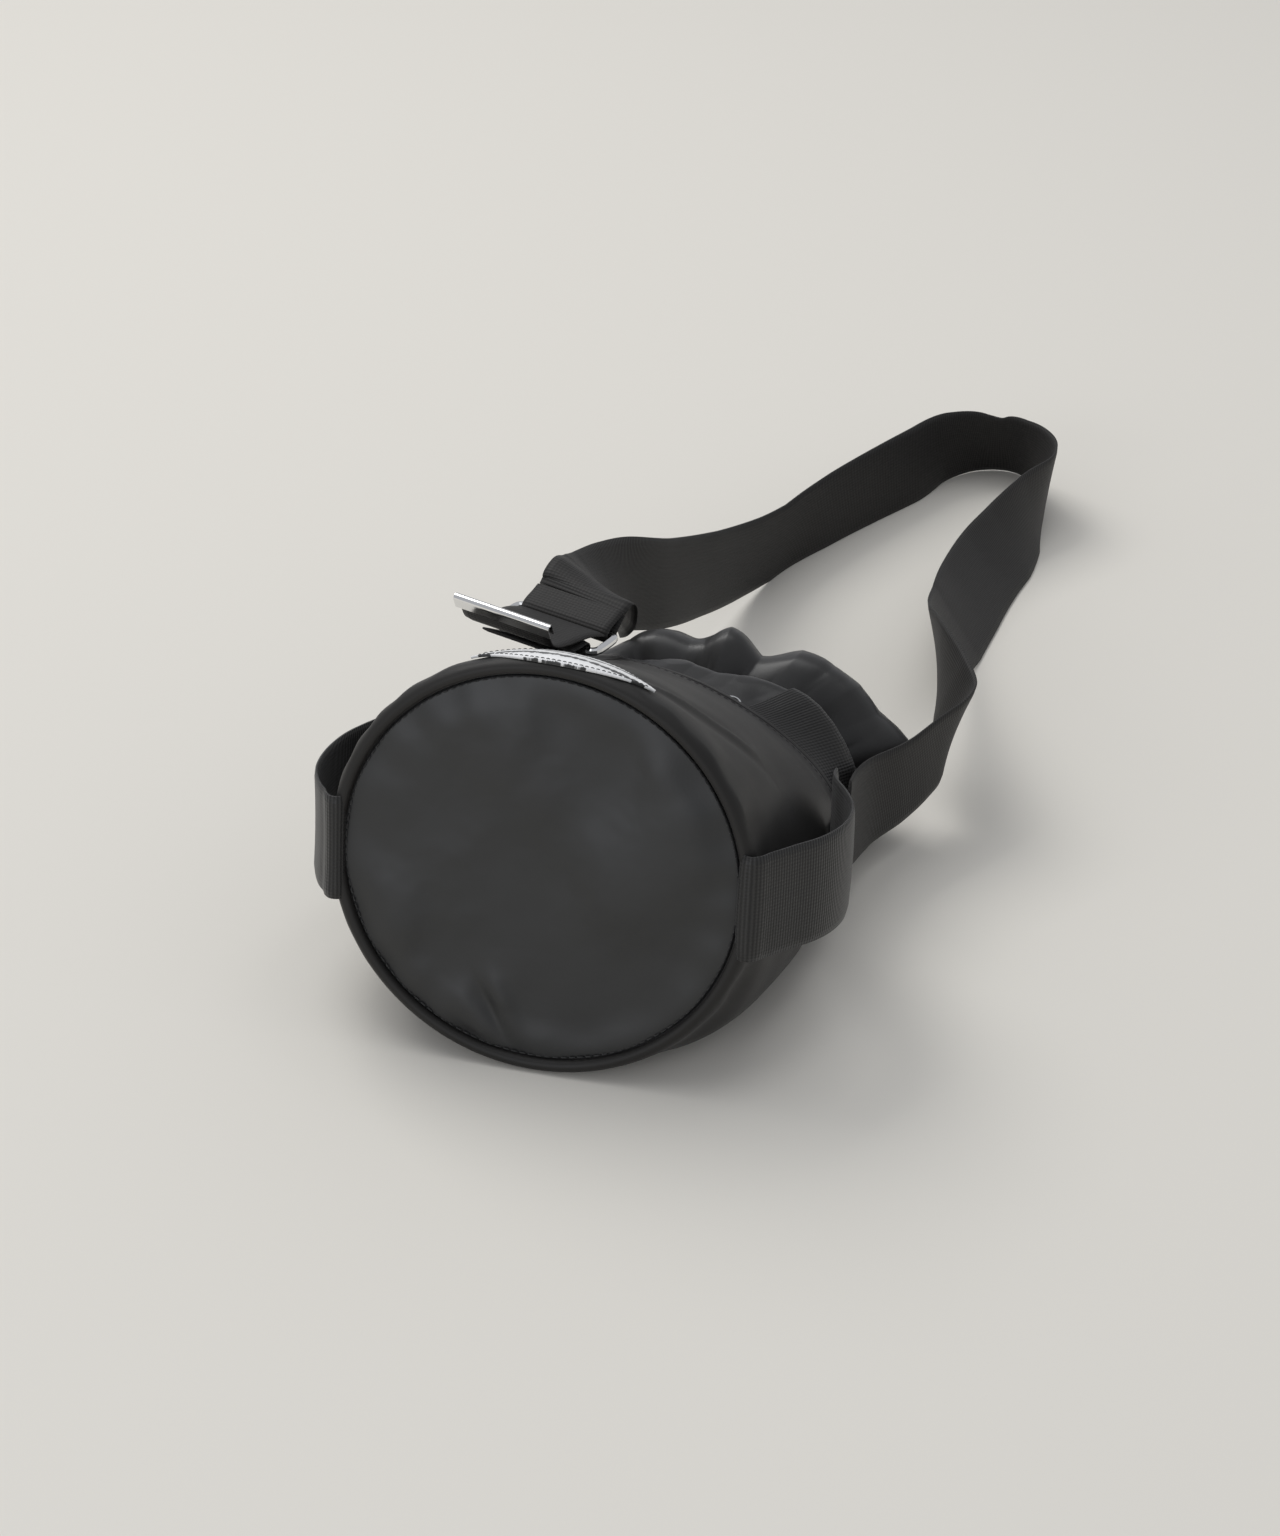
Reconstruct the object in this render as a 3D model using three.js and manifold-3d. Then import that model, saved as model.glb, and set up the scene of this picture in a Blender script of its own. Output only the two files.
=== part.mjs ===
// Drawstring bucket bag of the rope-bag shape, lying on its side. Millimetres, +Z up, floor at Z = 0.
// The bag is drawn about its own axis (local Y, from base to mouth), slumped, then laid down.
import * as THREE from 'three';
import { mergeVertices } from 'three/addons/utils/BufferGeometryUtils.js';
import Module from 'manifold-3d';

const kernel = await Module();
kernel.setup();

// Where the bag lies
const TILT = THREE.MathUtils.degToRad(8.93);
const FRAME_X = 2.8;
const FRAME_Y = 109.5;

// Round parts of the bag, radii measured before the slump
const BASE_RADIUS = 75.5;
const SEAM_RADIUS = 70.0;
const GAP = 0.4;
const SHELL_WALL = 1.6;
const LINING_WALL = 0.8;
const LINING_GAP = 1.1;
const RIM_START = 113.0;
const RIM_END = 117.0;
const COLLAR_START = 104.0;
const COLLAR_END = 196.0;
const COLLAR_RADIUS = 71.0;
const COLLAR_WALL = 1.4;
const CHANNEL_START = 149.5;
const CHANNEL_END = 157.5;
const CORD_RADIUS = 1.3;
const TURNS = 48;

// Webbing
const WEBBING_WIDTH = 38.0;
const WEBBING_THICK = 1.4;
const STRAP_STEPS = 100;
const STRAP_CELLS = 4;
const LOOP_STEPS = 26;
const LOOP_HEIGHT = -1.5;
const FLOOR_GAP = 0.2;

// Ring and tail
const RING_CENTRE = new THREE.Vector3(-30.5, 122.5, 101.8);
const RING_ALONG = new THREE.Vector3(-0.95, 0.29, 0.04).normalize();
const RING_WIRE = 1.6;
const RING_INSIDE = 40.0;
const RING_DEPTH = 12.0;
const EYE_RISE = THREE.MathUtils.degToRad(30);
// Middle line of the tail: forward of the bar and up from it. Its end curls up steeply.
const TAIL_ROUTE = [[4.6, 1.7], [12, 4.8], [20, 6.8], [28, 8.4], [34.5, 10.4], [38.4, 12.9], [40.6, 16.7],
  [42.4, 21.5]];

// Cord lock: an upright barrel with a plunger, both crossed by the two cord legs
const LOCK_X = -62.0;
const LOCK_Y = 187.0;
const LEG_HEIGHT = 10.6;
const LEG_SPACING = 4.6;
const LEG_START = 176.0;
const LEG_END = 220.0;
const BARREL_RADIUS = 8.2;
const BORE_RADIUS = 6.0;
const PLUNGER_RADIUS = 5.6;
const BARREL_FOOT = 0.4;
const BARREL_FLOOR = 1.8;
const BARREL_TOP = 18.0;
const PLUNGER_FOOT = 7.6;
const PLUNGER_TOP = 23.0;
const PRESS_TRAVEL = 3.0;
const SLOT_HALF_WIDTH = 4.1;
const SLOT_CLEARANCE = 0.4;

// Cross-sections along the bag's axis. Columns: distance from the base, half width, top height,
// lift of the foot over the floor, sideways shift, squareness of the top, squareness of the foot.
const SECTIONS = [
  [-6, 75.5, 75.5, 0.0, 0, 2.0, 2.0],
  [0, 75.5, 75.5, 0.0, 0, 2.0, 2.0],
  [8, 75.5, 75.0, 0.0, 0, 2.0, 2.2],
  [20, 76.5, 71.5, 0.0, 0, 1.95, 3.0],
  [40, 78.2, 64.2, 0.0, 0, 1.9, 3.8],
  [60, 79.6, 57.0, 0.0, 0, 1.8, 4.4],
  [80, 81.0, 49.6, 0.0, 0, 1.75, 4.6],
  [100, 81.6, 42.4, 0.0, 0, 1.65, 4.6],
  [117, 79.8, 37.4, 0.0, 0, 1.6, 4.2],
  [128, 76.5, 34.0, -1.0, 4, 1.9, 3.6],
  [140, 74.0, 32.0, -1.5, 10, 2.4, 3.2],
  [153, 60.0, 18.0, 6.0, 15, 2.2, 2.8],
  [168, 74.0, 35.0, -1.5, 21, 2.0, 2.8],
  [184, 74.0, 32.0, -1.5, 21, 2.0, 2.8],
  [196, 66.0, 24.0, 4.0, 20, 2.0, 2.6],
];
const SECTION_AT = SECTIONS.map((row) => row[0]);
const SECTION_SHAPE = new THREE.CubicInterpolant(SECTION_AT, SECTIONS.flatMap((row) => row.slice(1)), 6);
const PLEATS = 8;
const PLEAT_DEPTH = 2.4;
const PLEAT_FROM = 122.0;
const PLEAT_FULL = 165.0;

function sectionRadius(angle, along) {
  const [half, top, lift, , topPower, footPower] = SECTION_SHAPE.evaluate(along);
  const foot = lift - BASE_RADIUS + Math.max(along, 0) * Math.tan(TILT);
  const tall = (top - foot) / 2;
  const power = Math.sin(angle) > 0 ? topPower : footPower;
  const wide = Math.pow(Math.abs(Math.cos(angle)) / half, power);
  const high = Math.pow(Math.abs(Math.sin(angle)) / tall, power);
  const round = 1 / Math.pow(wide + high, 1 / power);
  const pleat = PLEAT_DEPTH * THREE.MathUtils.smoothstep(along, PLEAT_FROM, PLEAT_FULL);
  return round + pleat * Math.cos(PLEATS * angle + 0.6) - pleat;
}

function sectionCentre(along) {
  const [, top, lift, shift] = SECTION_SHAPE.evaluate(along);
  const foot = lift - BASE_RADIUS + Math.max(along, 0) * Math.tan(TILT);
  return { x: shift, z: (top + foot) / 2 };
}

// Walls keep their thickness, and what lies well inside shrinks evenly towards the axis.
function slumpPoint(radius, angle, along) {
  const solid = 60;
  const outline = sectionRadius(angle, along);
  const inner = radius * (outline - BASE_RADIUS + solid) / solid;
  const reach = radius < solid ? inner : outline - BASE_RADIUS + radius;
  const centre = sectionCentre(along);
  return new THREE.Vector3(centre.x + reach * Math.cos(angle), along, centre.z + reach * Math.sin(angle));
}

function layDown(point) {
  point.applyAxisAngle(new THREE.Vector3(1, 0, 0), -TILT);
  point.z += BASE_RADIUS * Math.cos(TILT);
  return point;
}

function mapVertices(geometry, change) {
  const spots = geometry.getAttribute('position');
  const point = new THREE.Vector3();
  for (let i = 0; i < spots.count; i += 1) {
    const moved = change(point.fromBufferAttribute(spots, i));
    spots.setXYZ(i, moved.x, moved.y, moved.z);
  }
  return geometry;
}

function signedVolume(geometry) {
  const spots = geometry.getAttribute('position');
  const order = geometry.getIndex();
  const corners = [new THREE.Vector3(), new THREE.Vector3(), new THREE.Vector3()];
  let total = 0;
  for (let i = 0; i < order.count; i += 3) {
    corners.forEach((corner, k) => corner.fromBufferAttribute(spots, order.getX(i + k)));
    total += corners[0].dot(corners[1].clone().cross(corners[2]));
  }
  return total / 6;
}

// One welded body with its faces outward
function weld(geometry) {
  const bare = geometry.index ? geometry.toNonIndexed() : geometry;
  bare.deleteAttribute('normal');
  bare.deleteAttribute('uv');
  const joined = mergeVertices(bare, 0.001);
  const order = joined.getIndex();
  const kept = [];
  for (let i = 0; i < order.count; i += 3) {
    const [a, b, c] = [order.getX(i), order.getX(i + 1), order.getX(i + 2)];
    if (a !== b && b !== c && a !== c) kept.push(a, b, c);
  }
  joined.setIndex(kept);
  if (signedVolume(joined) < 0) joined.setIndex(kept.reverse());
  joined.computeVertexNormals();
  return joined;
}

const bag = new THREE.Group();
bag.name = 'rope_storage_bag';

const COLOURS = {
  nylon: [0x1d1d20, 0.55, 0.0],
  lining: [0x2a2a2c, 0.8, 0.0],
  webbing: [0x151515, 0.75, 0.0],
  foam: [0x3a3a3a, 0.95, 0.0],
  thread: [0x0b0b0c, 0.8, 0.0],
  cord: [0x111111, 0.8, 0.0],
  chrome: [0xc8c8cc, 0.15, 1.0],
  nickel: [0xb5b5b8, 0.25, 1.0],
  plastic: [0x121212, 0.45, 0.0],
  label: [0xd9d9dc, 0.5, 0.0],
  spring: [0x9a9a9e, 0.3, 1.0],
};

function add(name, geometry, finish) {
  const [color, roughness, metalness] = COLOURS[finish];
  const material = new THREE.MeshStandardMaterial({ color, roughness, metalness, name: finish });
  geometry.translate(-FRAME_X, -FRAME_Y, 0);
  const mesh = new THREE.Mesh(weld(geometry), material);
  mesh.name = name;
  bag.add(mesh);
}

// ---- round parts ----
function turned(profile, turns = TURNS) {
  const points = profile.map(([radius, along]) => new THREE.Vector2(radius, along));
  return new THREE.LatheGeometry(points, turns);
}

function slumped(profile) {
  const slump = (point) => {
    const radius = Math.hypot(point.x, point.z);
    const angle = Math.atan2(point.z, point.x);
    return layDown(slumpPoint(radius, angle, point.y));
  };
  return mapVertices(turned(profile), slump);
}

function closedWall(outer, wall) {
  const inner = outer.map(([radius, along]) => [radius - wall, along]).reverse();
  return [...outer, ...inner, outer[0]];
}

function basePanel() {
  const edge = SEAM_RADIUS - 1.6;
  const face = [[0, 0], [30, 0], [56, 0], [63, 0.4], [edge, 1.8]];
  const back = [[edge, 3.2], [0, 3.2]];
  return slumped([...face, ...back]);
}

function baseFoam() {
  const edge = SEAM_RADIUS - 1.6;
  return slumped([[0, 3.7], [edge, 3.7], [edge, 8.8], [0, 8.8]]);
}

function seamBinding() {
  const inner = SEAM_RADIUS - 1.2;
  const outer = SEAM_RADIUS + 0.2;
  return slumped([[inner, 1.9], [outer, 1.9], [outer, 3.4], [inner, 3.4], [inner, 1.9]]);
}

function bodyShell() {
  const seam = SEAM_RADIUS + 0.6;
  const inside = BASE_RADIUS - SHELL_WALL;
  const roll = [[seam, 1.6], [71.6, 0.3], [73.4, 0.0], [74.9, 1.8], [BASE_RADIUS, 5.5]];
  const side = [14, 28, 42, 56, 70, 84, 98, RIM_START - GAP];
  const outer = side.map((along) => [BASE_RADIUS, along]);
  const inner = side.slice().reverse().map((along) => [inside, along]);
  return slumped([...roll, ...outer, ...inner, [inside, 9.3], [seam, 4.2], [seam, 1.6]]);
}

function bodyLining() {
  const outside = BASE_RADIUS - SHELL_WALL - LINING_GAP;
  const inside = outside - LINING_WALL;
  const side = [14, 28, 42, 56, 70, 84, 98, RIM_START - GAP];
  const outer = side.map((along) => [outside, along]);
  const inner = side.slice().reverse().map((along) => [inside, along]);
  return slumped([[0, 9.3], [outside, 9.3], ...outer, ...inner, [inside, 10.1], [0, 10.1]]);
}

function rimHem() {
  const inside = COLLAR_RADIUS + GAP + 0.2;
  const soft = 0.8;
  return slumped([
    [BASE_RADIUS, RIM_START], [BASE_RADIUS, RIM_END - soft], [BASE_RADIUS - soft, RIM_END],
    [inside + soft, RIM_END], [inside, RIM_END - soft], [inside, RIM_START], [BASE_RADIUS, RIM_START],
  ]);
}

function collar() {
  const neck = [COLLAR_START, 108.5, RIM_START, RIM_END, 122, 127, 132, 137, 142, 146];
  const ruffle = [161, 165, 170, 175, 180, 185, 191, COLLAR_END];
  const throat = [CHANNEL_START, (CHANNEL_START + CHANNEL_END) / 2, CHANNEL_END];
  const outer = [...neck, ...throat, ...ruffle].map((at) => [COLLAR_RADIUS, at]);
  return slumped(closedWall(outer, COLLAR_WALL));
}

// A channel open towards the collar, which closes it; left out at the side where the cord comes out.
const CHANNEL_GAP_FROM = 180;
const CHANNEL_GAP_TO = 225;
const CHANNEL_SKIN = 0.8;
const CHANNEL_INNER = COLLAR_RADIUS + GAP + 0.5;
const CHANNEL_OUTER = CHANNEL_INNER + 2 * CORD_RADIUS + 1.6;
const CHANNEL_STEPS = 42;

function wrapped(fromDegrees, toDegrees, place, box) {
  const from = THREE.MathUtils.degToRad(fromDegrees);
  const to = THREE.MathUtils.degToRad(toDegrees);
  const bend = (point) => {
    const angle = THREE.MathUtils.mapLinear(point.x, -0.5, 0.5, from, to);
    const [radius, along] = place(point);
    return layDown(slumpPoint(radius, angle, along));
  };
  return mapVertices(box, bend);
}

function cordChannel() {
  const lip = CHANNEL_SKIN;
  const [a, b] = [CHANNEL_START, CHANNEL_END];
  const [i, o] = [CHANNEL_INNER, CHANNEL_OUTER];
  const outline = [[i, a], [o, a + 0.5], [o, b - 0.5], [i, b], [i, b - lip], [o - lip, b - 0.5 - lip],
    [o - lip, a + 0.5 + lip], [i, a + lip]];
  const shape = new THREE.Shape(outline.map(([radius, along]) => new THREE.Vector2(radius, along)));
  const bar = new THREE.ExtrudeGeometry(shape, { depth: 1, steps: CHANNEL_STEPS, bevelEnabled: false });
  const from = THREE.MathUtils.degToRad(CHANNEL_GAP_TO - 360);
  const to = THREE.MathUtils.degToRad(CHANNEL_GAP_FROM);
  const bend = (point) => {
    const angle = THREE.MathUtils.lerp(from, to, point.z);
    return layDown(slumpPoint(point.x, angle, point.y));
  };
  return mapVertices(bar, bend);
}

function tube(route, radius, steps, sides) {
  const path = new THREE.CatmullRomCurve3(route, false, 'centripetal');
  const ring = new THREE.Shape();
  ring.absarc(0, 0, radius, 0, 2 * Math.PI);
  const options = { steps, curveSegments: sides, bevelEnabled: false, extrudePath: path };
  return new THREE.ExtrudeGeometry(ring, options);
}

// Legs of the drawcord run straight along +Y where the cord lock slides on them.
function cordInChannel(degrees) {
  const angle = THREE.MathUtils.degToRad(degrees);
  const radius = CHANNEL_INNER + CORD_RADIUS + 0.3;
  return layDown(slumpPoint(radius, angle, (CHANNEL_START + CHANNEL_END) / 2));
}

function drawcord() {
  const [z, half] = [LEG_HEIGHT, LEG_SPACING / 2];
  const [left, right] = [LOCK_X - half, LOCK_X + half];
  const route = [];
  route.push(new THREE.Vector3(left, LEG_END, z), new THREE.Vector3(left, LOCK_Y + 12, z));
  route.push(new THREE.Vector3(left, LOCK_Y, z), new THREE.Vector3(left, LEG_START, z));
  route.push(new THREE.Vector3(-61.5, 165, 13.5), new THREE.Vector3(-54.5, 156, 22));
  route.push(new THREE.Vector3(-47.5, 152.0, 31));
  for (let degrees = CHANNEL_GAP_FROM; degrees >= CHANNEL_GAP_TO - 360; degrees -= 4.5) {
    route.push(cordInChannel(degrees));
  }
  route.push(new THREE.Vector3(-29, 146.5, 8.5), new THREE.Vector3(-42, 152, 7.0));
  route.push(new THREE.Vector3(-54, 162.5, 8.6), new THREE.Vector3(right, LEG_START, z));
  route.push(new THREE.Vector3(right, LOCK_Y, z), new THREE.Vector3(right, LOCK_Y + 12, z));
  route.push(new THREE.Vector3(right, LEG_END, z));
  return tube(route, CORD_RADIUS, 160, 3);
}

// ---- webbing ----
// A strip whose middle line, edge direction and thickness direction are given at each station.
function strip(stations, width, thick, steps, cells = 1, lowest = -Infinity) {
  const middle = new THREE.CatmullRomCurve3(stations.map((s) => s.at), false, 'centripetal');
  const edge = new THREE.CatmullRomCurve3(stations.map((s) => s.edge), false, 'centripetal');
  const box = new THREE.BoxGeometry(width, thick, 1, cells, 1, steps);
  const bend = (point) => {
    const t = THREE.MathUtils.clamp(point.z + 0.5, 0, 1);
    const at = middle.getPoint(t);
    const along = middle.getTangent(t);
    const across = edge.getPoint(t);
    across.addScaledVector(along, -across.dot(along)).normalize();
    const out = new THREE.Vector3().crossVectors(along, across);
    const reach = (Math.abs(across.z) * width + Math.abs(out.z) * thick) / 2;
    at.z = Math.max(at.z, lowest + reach);
    return at.addScaledVector(across, point.x).addScaledVector(out, point.y);
  };
  return mapVertices(box, bend);
}

function station(x, y, z, ex, ey, ez) {
  return { at: new THREE.Vector3(x, y, z), edge: new THREE.Vector3(ex, ey, ez).normalize() };
}

// Shoulder strap: middle of the webbing and the direction of its upper edge, from ring to anchor.
const STRAP = [
  station(-25.5, 138.3, 107.0, -0.95, 0.29, 0.04),
  station(-24.3, 141.7, 109.0, -0.95, 0.28, 0.10),
  station(-23.5, 149.5, 107.6, -0.90, 0.20, 0.36),
  station(-24.6, 159.5, 100.6, -0.74, 0.03, 0.66),
  station(-27.6, 172.5, 92.5, -0.46, -0.22, 0.85),
  station(-30.0, 190.0, 84.8, -0.20, -0.40, 0.90),
  station(-30.0, 213.0, 76.0, -0.06, -0.53, 0.85),
  station(-24.5, 254.5, 57.0, -0.03, -0.45, 0.90),
  station(-19.5, 306.0, 37.5, 0.03, -0.42, 0.91),
  station(-13.0, 353.5, 23.5, 0.05, -0.40, 0.92),
  station(-4.5, 388.5, 18.2, 0.03, -0.34, 0.94),
  station(7.0, 418.0, 18.6, -0.05, -0.26, 0.96),
  station(20.0, 447.0, 18.8, -0.10, -0.21, 0.97),
  station(33.5, 474.5, 18.6, -0.18, -0.24, 0.95),
  station(46.0, 500.5, 17.8, -0.16, -0.39, 0.91),
  station(60.0, 513.0, 17.4, -0.05, -0.42, 0.91),
  station(73.5, 514.5, 17.4, 0.03, -0.45, 0.89),
  station(86.5, 503.5, 17.0, 0.13, -0.47, 0.87),
  station(96.0, 486.0, 16.6, 0.22, -0.44, 0.87),
  station(99.5, 465.0, 16.4, 0.10, -0.30, 0.90),
  station(96.0, 440.0, 16.6, -0.28, -0.12, 0.88),
  station(91.0, 414.0, 15.4, -0.56, -0.06, 0.80),
  station(86.0, 390.0, 14.4, -0.66, -0.05, 0.74),
  station(83.5, 362.0, 14.2, -0.68, -0.04, 0.73),
  station(83.0, 333.0, 15.4, -0.60, -0.03, 0.80),
  station(83.4, 303.0, 22.6, -0.42, -0.10, 0.91),
  station(86.5, 270.0, 34.0, -0.22, -0.12, 0.97),
  station(92.0, 243.0, 41.5, 0.04, -0.10, 0.99),
  station(99.0, 223.0, 41.5, 0.28, 0.00, 0.95),
  station(105.0, 208.0, 38.5, 0.36, 0.05, 0.93),
  station(106.0, 195.0, 37.0, 0.24, 0.05, 0.96),
  station(101.0, 180.0, 35.0, 0.10, -0.08, 0.99),
  station(94.0, 164.0, 33.0, 0.02, -0.16, 0.98),
  station(85.5, 145.0, 34.0, -0.02, -0.10, 0.99),
  station(82.6, 127.0, 37.0, -0.02, 0.04, 0.99),
  station(82.6, 112.6, 39.8, 0.0, 0.155, 0.988),
];

function shoulderStrap() {
  return strip(STRAP, WEBBING_WIDTH, WEBBING_THICK, STRAP_STEPS, STRAP_CELLS, FLOOR_GAP);
}

// Side loops: distance out from the axis at stations along the bag
function sideLoop(route, side) {
  const stations = route.map(([out, along]) => {
    const at = layDown(new THREE.Vector3(side * out, along, LOOP_HEIGHT));
    const edge = layDown(new THREE.Vector3(0, 0, 1)).sub(layDown(new THREE.Vector3()));
    return { at, edge };
  });
  return strip(stations, WEBBING_WIDTH, WEBBING_THICK, LOOP_STEPS);
}

const RIGHT_LOOP = [[77.6, 4.6], [80.5, 8.5], [85, 15], [91, 24], [95, 34], [96.6, 46], [95, 58],
  [90.5, 69], [85.4, 78], [82.9, 84], [82.6, 89]];
const LEFT_LOOP = [[77.6, 4.6], [80.6, 7.5], [84, 13], [88, 22], [90.4, 34], [91, 46], [90, 58],
  [87, 69], [84.2, 77], [82.8, 83], [82.6, 89]];

function skinPatch(fromDegrees, toDegrees, inner, thick, start, end, steps) {
  const box = new THREE.BoxGeometry(1, 1, 1, steps, 4, 1);
  const place = (point) => [inner + (point.z + 0.5) * thick, start + (point.y + 0.5) * (end - start)];
  return wrapped(fromDegrees, toDegrees, place, box);
}

// Distance of the side wall's skin from the axis, with the soft roll at the base
function rollRadius(along) {
  const [drop, reach] = [2.1, 5.5];
  const back = Math.max(1 - along / reach, 0);
  return BASE_RADIUS - drop + drop * Math.sqrt(1 - back * back);
}

// Pointed oval that starts on the roll and lies back over the side wall
function labelPatch() {
  const [middle, half, thick] = [9.0, 8.4, 0.8];
  const place = (point) => {
    const taper = Math.max(1 - Math.pow(Math.abs(2 * point.x), 2.2), 0.05);
    const along = middle + 2 * point.y * half * taper;
    return [rollRadius(along) + 0.45 + (point.z + 0.5) * thick, along];
  };
  return wrapped(62, 112, place, new THREE.BoxGeometry(1, 1, 1, 18, 6, 1));
}

// ---- ring, tab and tail ----
const RING_BACK = new THREE.Vector3(-RING_ALONG.y, RING_ALONG.x, 0).normalize().negate();
const RING_UP = new THREE.Vector3().crossVectors(RING_BACK, RING_ALONG).normalize();
const BAR = RING_CENTRE.clone().addScaledVector(RING_BACK, RING_DEPTH / 2 + RING_WIRE);

function ringPoint(origin, along, back, up) {
  const point = origin.clone().addScaledVector(RING_ALONG, along);
  return point.addScaledVector(RING_BACK, back).addScaledVector(RING_UP, up);
}

function placeOnRing(geometry, origin) {
  return mapVertices(geometry, (point) => ringPoint(origin, point.x, point.y, point.z));
}

function strapRing() {
  const corner = 3.0;
  const [half, deep] = [RING_INSIDE / 2 + RING_WIRE, RING_DEPTH / 2 + RING_WIRE];
  const flat = new THREE.Shape();
  const outline = (shape, grow) => {
    const [w, d, c] = [half + grow, deep + grow, corner + grow];
    shape.moveTo(-w + c, -d);
    shape.lineTo(w - c, -d);
    shape.absarc(w - c, -d + c, c, -Math.PI / 2, 0);
    shape.lineTo(w, d - c);
    shape.absarc(w - c, d - c, c, 0, Math.PI / 2);
    shape.lineTo(-w + c, d);
    shape.absarc(-w + c, d - c, c, Math.PI / 2, Math.PI);
    shape.lineTo(-w, -d + c);
    shape.absarc(-w + c, -d + c, c, Math.PI, 1.5 * Math.PI);
  };
  outline(flat, 0);
  const line = flat.getPoints(5).map((p) => new THREE.Vector3(p.x, p.y, 0));
  line.pop();
  const path = new THREE.CatmullRomCurve3(line, true, 'chordal');
  const steps = 72;
  const sides = 10;
  const wire = new THREE.TorusGeometry(1, 0.5, sides, steps);
  const bend = (point) => {
    const turn = Math.atan2(point.y, point.x);
    const t = (turn + 2 * Math.PI) / (2 * Math.PI) % 1;
    const away = (Math.hypot(point.x, point.y) - 1) / 0.5 * RING_WIRE;
    const at = path.getPointAt(t);
    const tangent = path.getTangentAt(t);
    return new THREE.Vector3(at.x + tangent.y * away, at.y - tangent.x * away, point.z / 0.5 * RING_WIRE);
  };
  return placeOnRing(mapVertices(wire, bend), RING_CENTRE);
}

// A webbing strip that follows a route in the ring's own side view: back and up from the bar.
function webbingOnRing(route, origin, width, steps) {
  const place = ([back, up]) => ({ at: ringPoint(origin, 0, back, up), edge: RING_ALONG.clone() });
  const stations = route.map(place);
  return strip(stations, width, WEBBING_THICK, steps);
}

function strapEye() {
  const r = RING_WIRE + 0.4 + WEBBING_THICK / 2;
  const d = r * Math.SQRT1_2;
  const sewn = WEBBING_THICK / 2 + 0.25;
  const route = [[9.4, -sewn], [6, -1.6], [2.5, -2.5], [0, -r], [-d, -d], [-r, 0], [-d, d], [0, r],
    [2.5, 2.5], [6, 1.6], [9.4, sewn]];
  const [c, s] = [Math.cos(EYE_RISE), Math.sin(EYE_RISE)];
  const raised = route.map(([back, up]) => [back * c - up * s, back * s + up * c]);
  return webbingOnRing(raised, BAR, WEBBING_WIDTH, 30);
}

function ringTab() {
  const r = RING_WIRE + 0.4 + WEBBING_THICK / 2;
  const d = r * Math.SQRT1_2;
  const bar = RING_CENTRE.clone().addScaledVector(RING_BACK, -RING_DEPTH / 2 - RING_WIRE);
  const route = [[-14, 4.0], [-8, 0.6], [-3.5, -1.8], [0, -r], [d, -d], [r, 0], [d, d], [0, r],
    [-4, 2.8], [-9, 3.3]];
  return webbingOnRing(route, bar, WEBBING_WIDTH - 2, 34);
}

function strapTail() {
  const route = TAIL_ROUTE.map(([forward, up]) => [-forward, up]);
  return webbingOnRing(route, BAR, WEBBING_WIDTH, 24);
}

// Folded metal end: a narrow U that grips the end of the tail
function strapTip() {
  const [inside, skin, depth, width] = [WEBBING_THICK / 2 + 0.3, 0.55, 3.6, 41.0];
  const [before, end] = TAIL_ROUTE.slice(-2);
  const rise = Math.atan2(end[1] - before[1], end[0] - before[0]);
  const fold = 0.3;
  const u = new THREE.Shape();
  u.moveTo(fold - depth, -inside - skin);
  u.lineTo(fold, -inside - skin);
  u.absarc(fold, 0, inside + skin, -Math.PI / 2, Math.PI / 2);
  u.lineTo(fold - depth, inside + skin);
  u.lineTo(fold - depth, inside);
  u.lineTo(fold, inside);
  u.absarc(fold, 0, inside, Math.PI / 2, -Math.PI / 2, true);
  u.lineTo(fold - depth, -inside);
  const bar = new THREE.ExtrudeGeometry(u, { depth: width, bevelEnabled: false, curveSegments: 8 });
  const [c, s] = [Math.cos(rise), Math.sin(rise)];
  const lay = (p) => {
    const forward = end[0] + p.x * c + p.y * s;
    return ringPoint(BAR, p.z - width / 2, -forward, end[1] + p.x * s - p.y * c);
  };
  return mapVertices(bar, lay);
}

// ---- small hardware ----
function neckEyelet(degrees) {
  const angle = THREE.MathUtils.degToRad(degrees);
  const [bore, flange, tall, along] = [1.8, 3.4, 1.2, 121.6];
  const ring = turned([[bore, 0], [flange, 0], [flange, 0.5], [2.6, tall], [bore, tall], [bore, 0]], 20);
  const seat = layDown(slumpPoint(COLLAR_RADIUS + 0.5, angle, along));
  const aside = layDown(slumpPoint(COLLAR_RADIUS + 0.5, angle + 0.02, along)).sub(seat).normalize();
  const ahead = layDown(slumpPoint(COLLAR_RADIUS + 0.5, angle, along + 1)).sub(seat).normalize();
  const out = new THREE.Vector3().crossVectors(aside, ahead).normalize();
  if (out.z < 0) out.negate();
  const side = new THREE.Vector3().crossVectors(out, ahead).normalize();
  const lay = (p) => {
    const point = seat.clone().addScaledVector(side, p.x);
    return point.addScaledVector(out, p.y).addScaledVector(ahead, p.z);
  };
  return mapVertices(ring, lay);
}

// ---- cord lock ----
function toManifold(geometry) {
  const welded = weld(geometry);
  const vertProperties = new Float32Array(welded.getAttribute('position').array);
  const triVerts = new Uint32Array(welded.getIndex().array);
  return new kernel.Manifold(new kernel.Mesh({ numProp: 3, vertProperties, triVerts }));
}

function fromManifold(solid) {
  const mesh = solid.getMesh();
  const geometry = new THREE.BufferGeometry();
  geometry.setAttribute('position', new THREE.BufferAttribute(new Float32Array(mesh.vertProperties), 3));
  geometry.setIndex(Array.from(mesh.triVerts));
  return geometry;
}

function turnedUp(profile, turns) {
  const solid = turned(profile, turns);
  return solid.rotateX(Math.PI / 2).translate(LOCK_X, LOCK_Y, 0);
}

function crossSlot(low, high) {
  const slot = new THREE.BoxGeometry(2 * SLOT_HALF_WIDTH, 4 * BARREL_RADIUS, high - low);
  return slot.translate(LOCK_X, LOCK_Y, (low + high) / 2);
}

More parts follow.
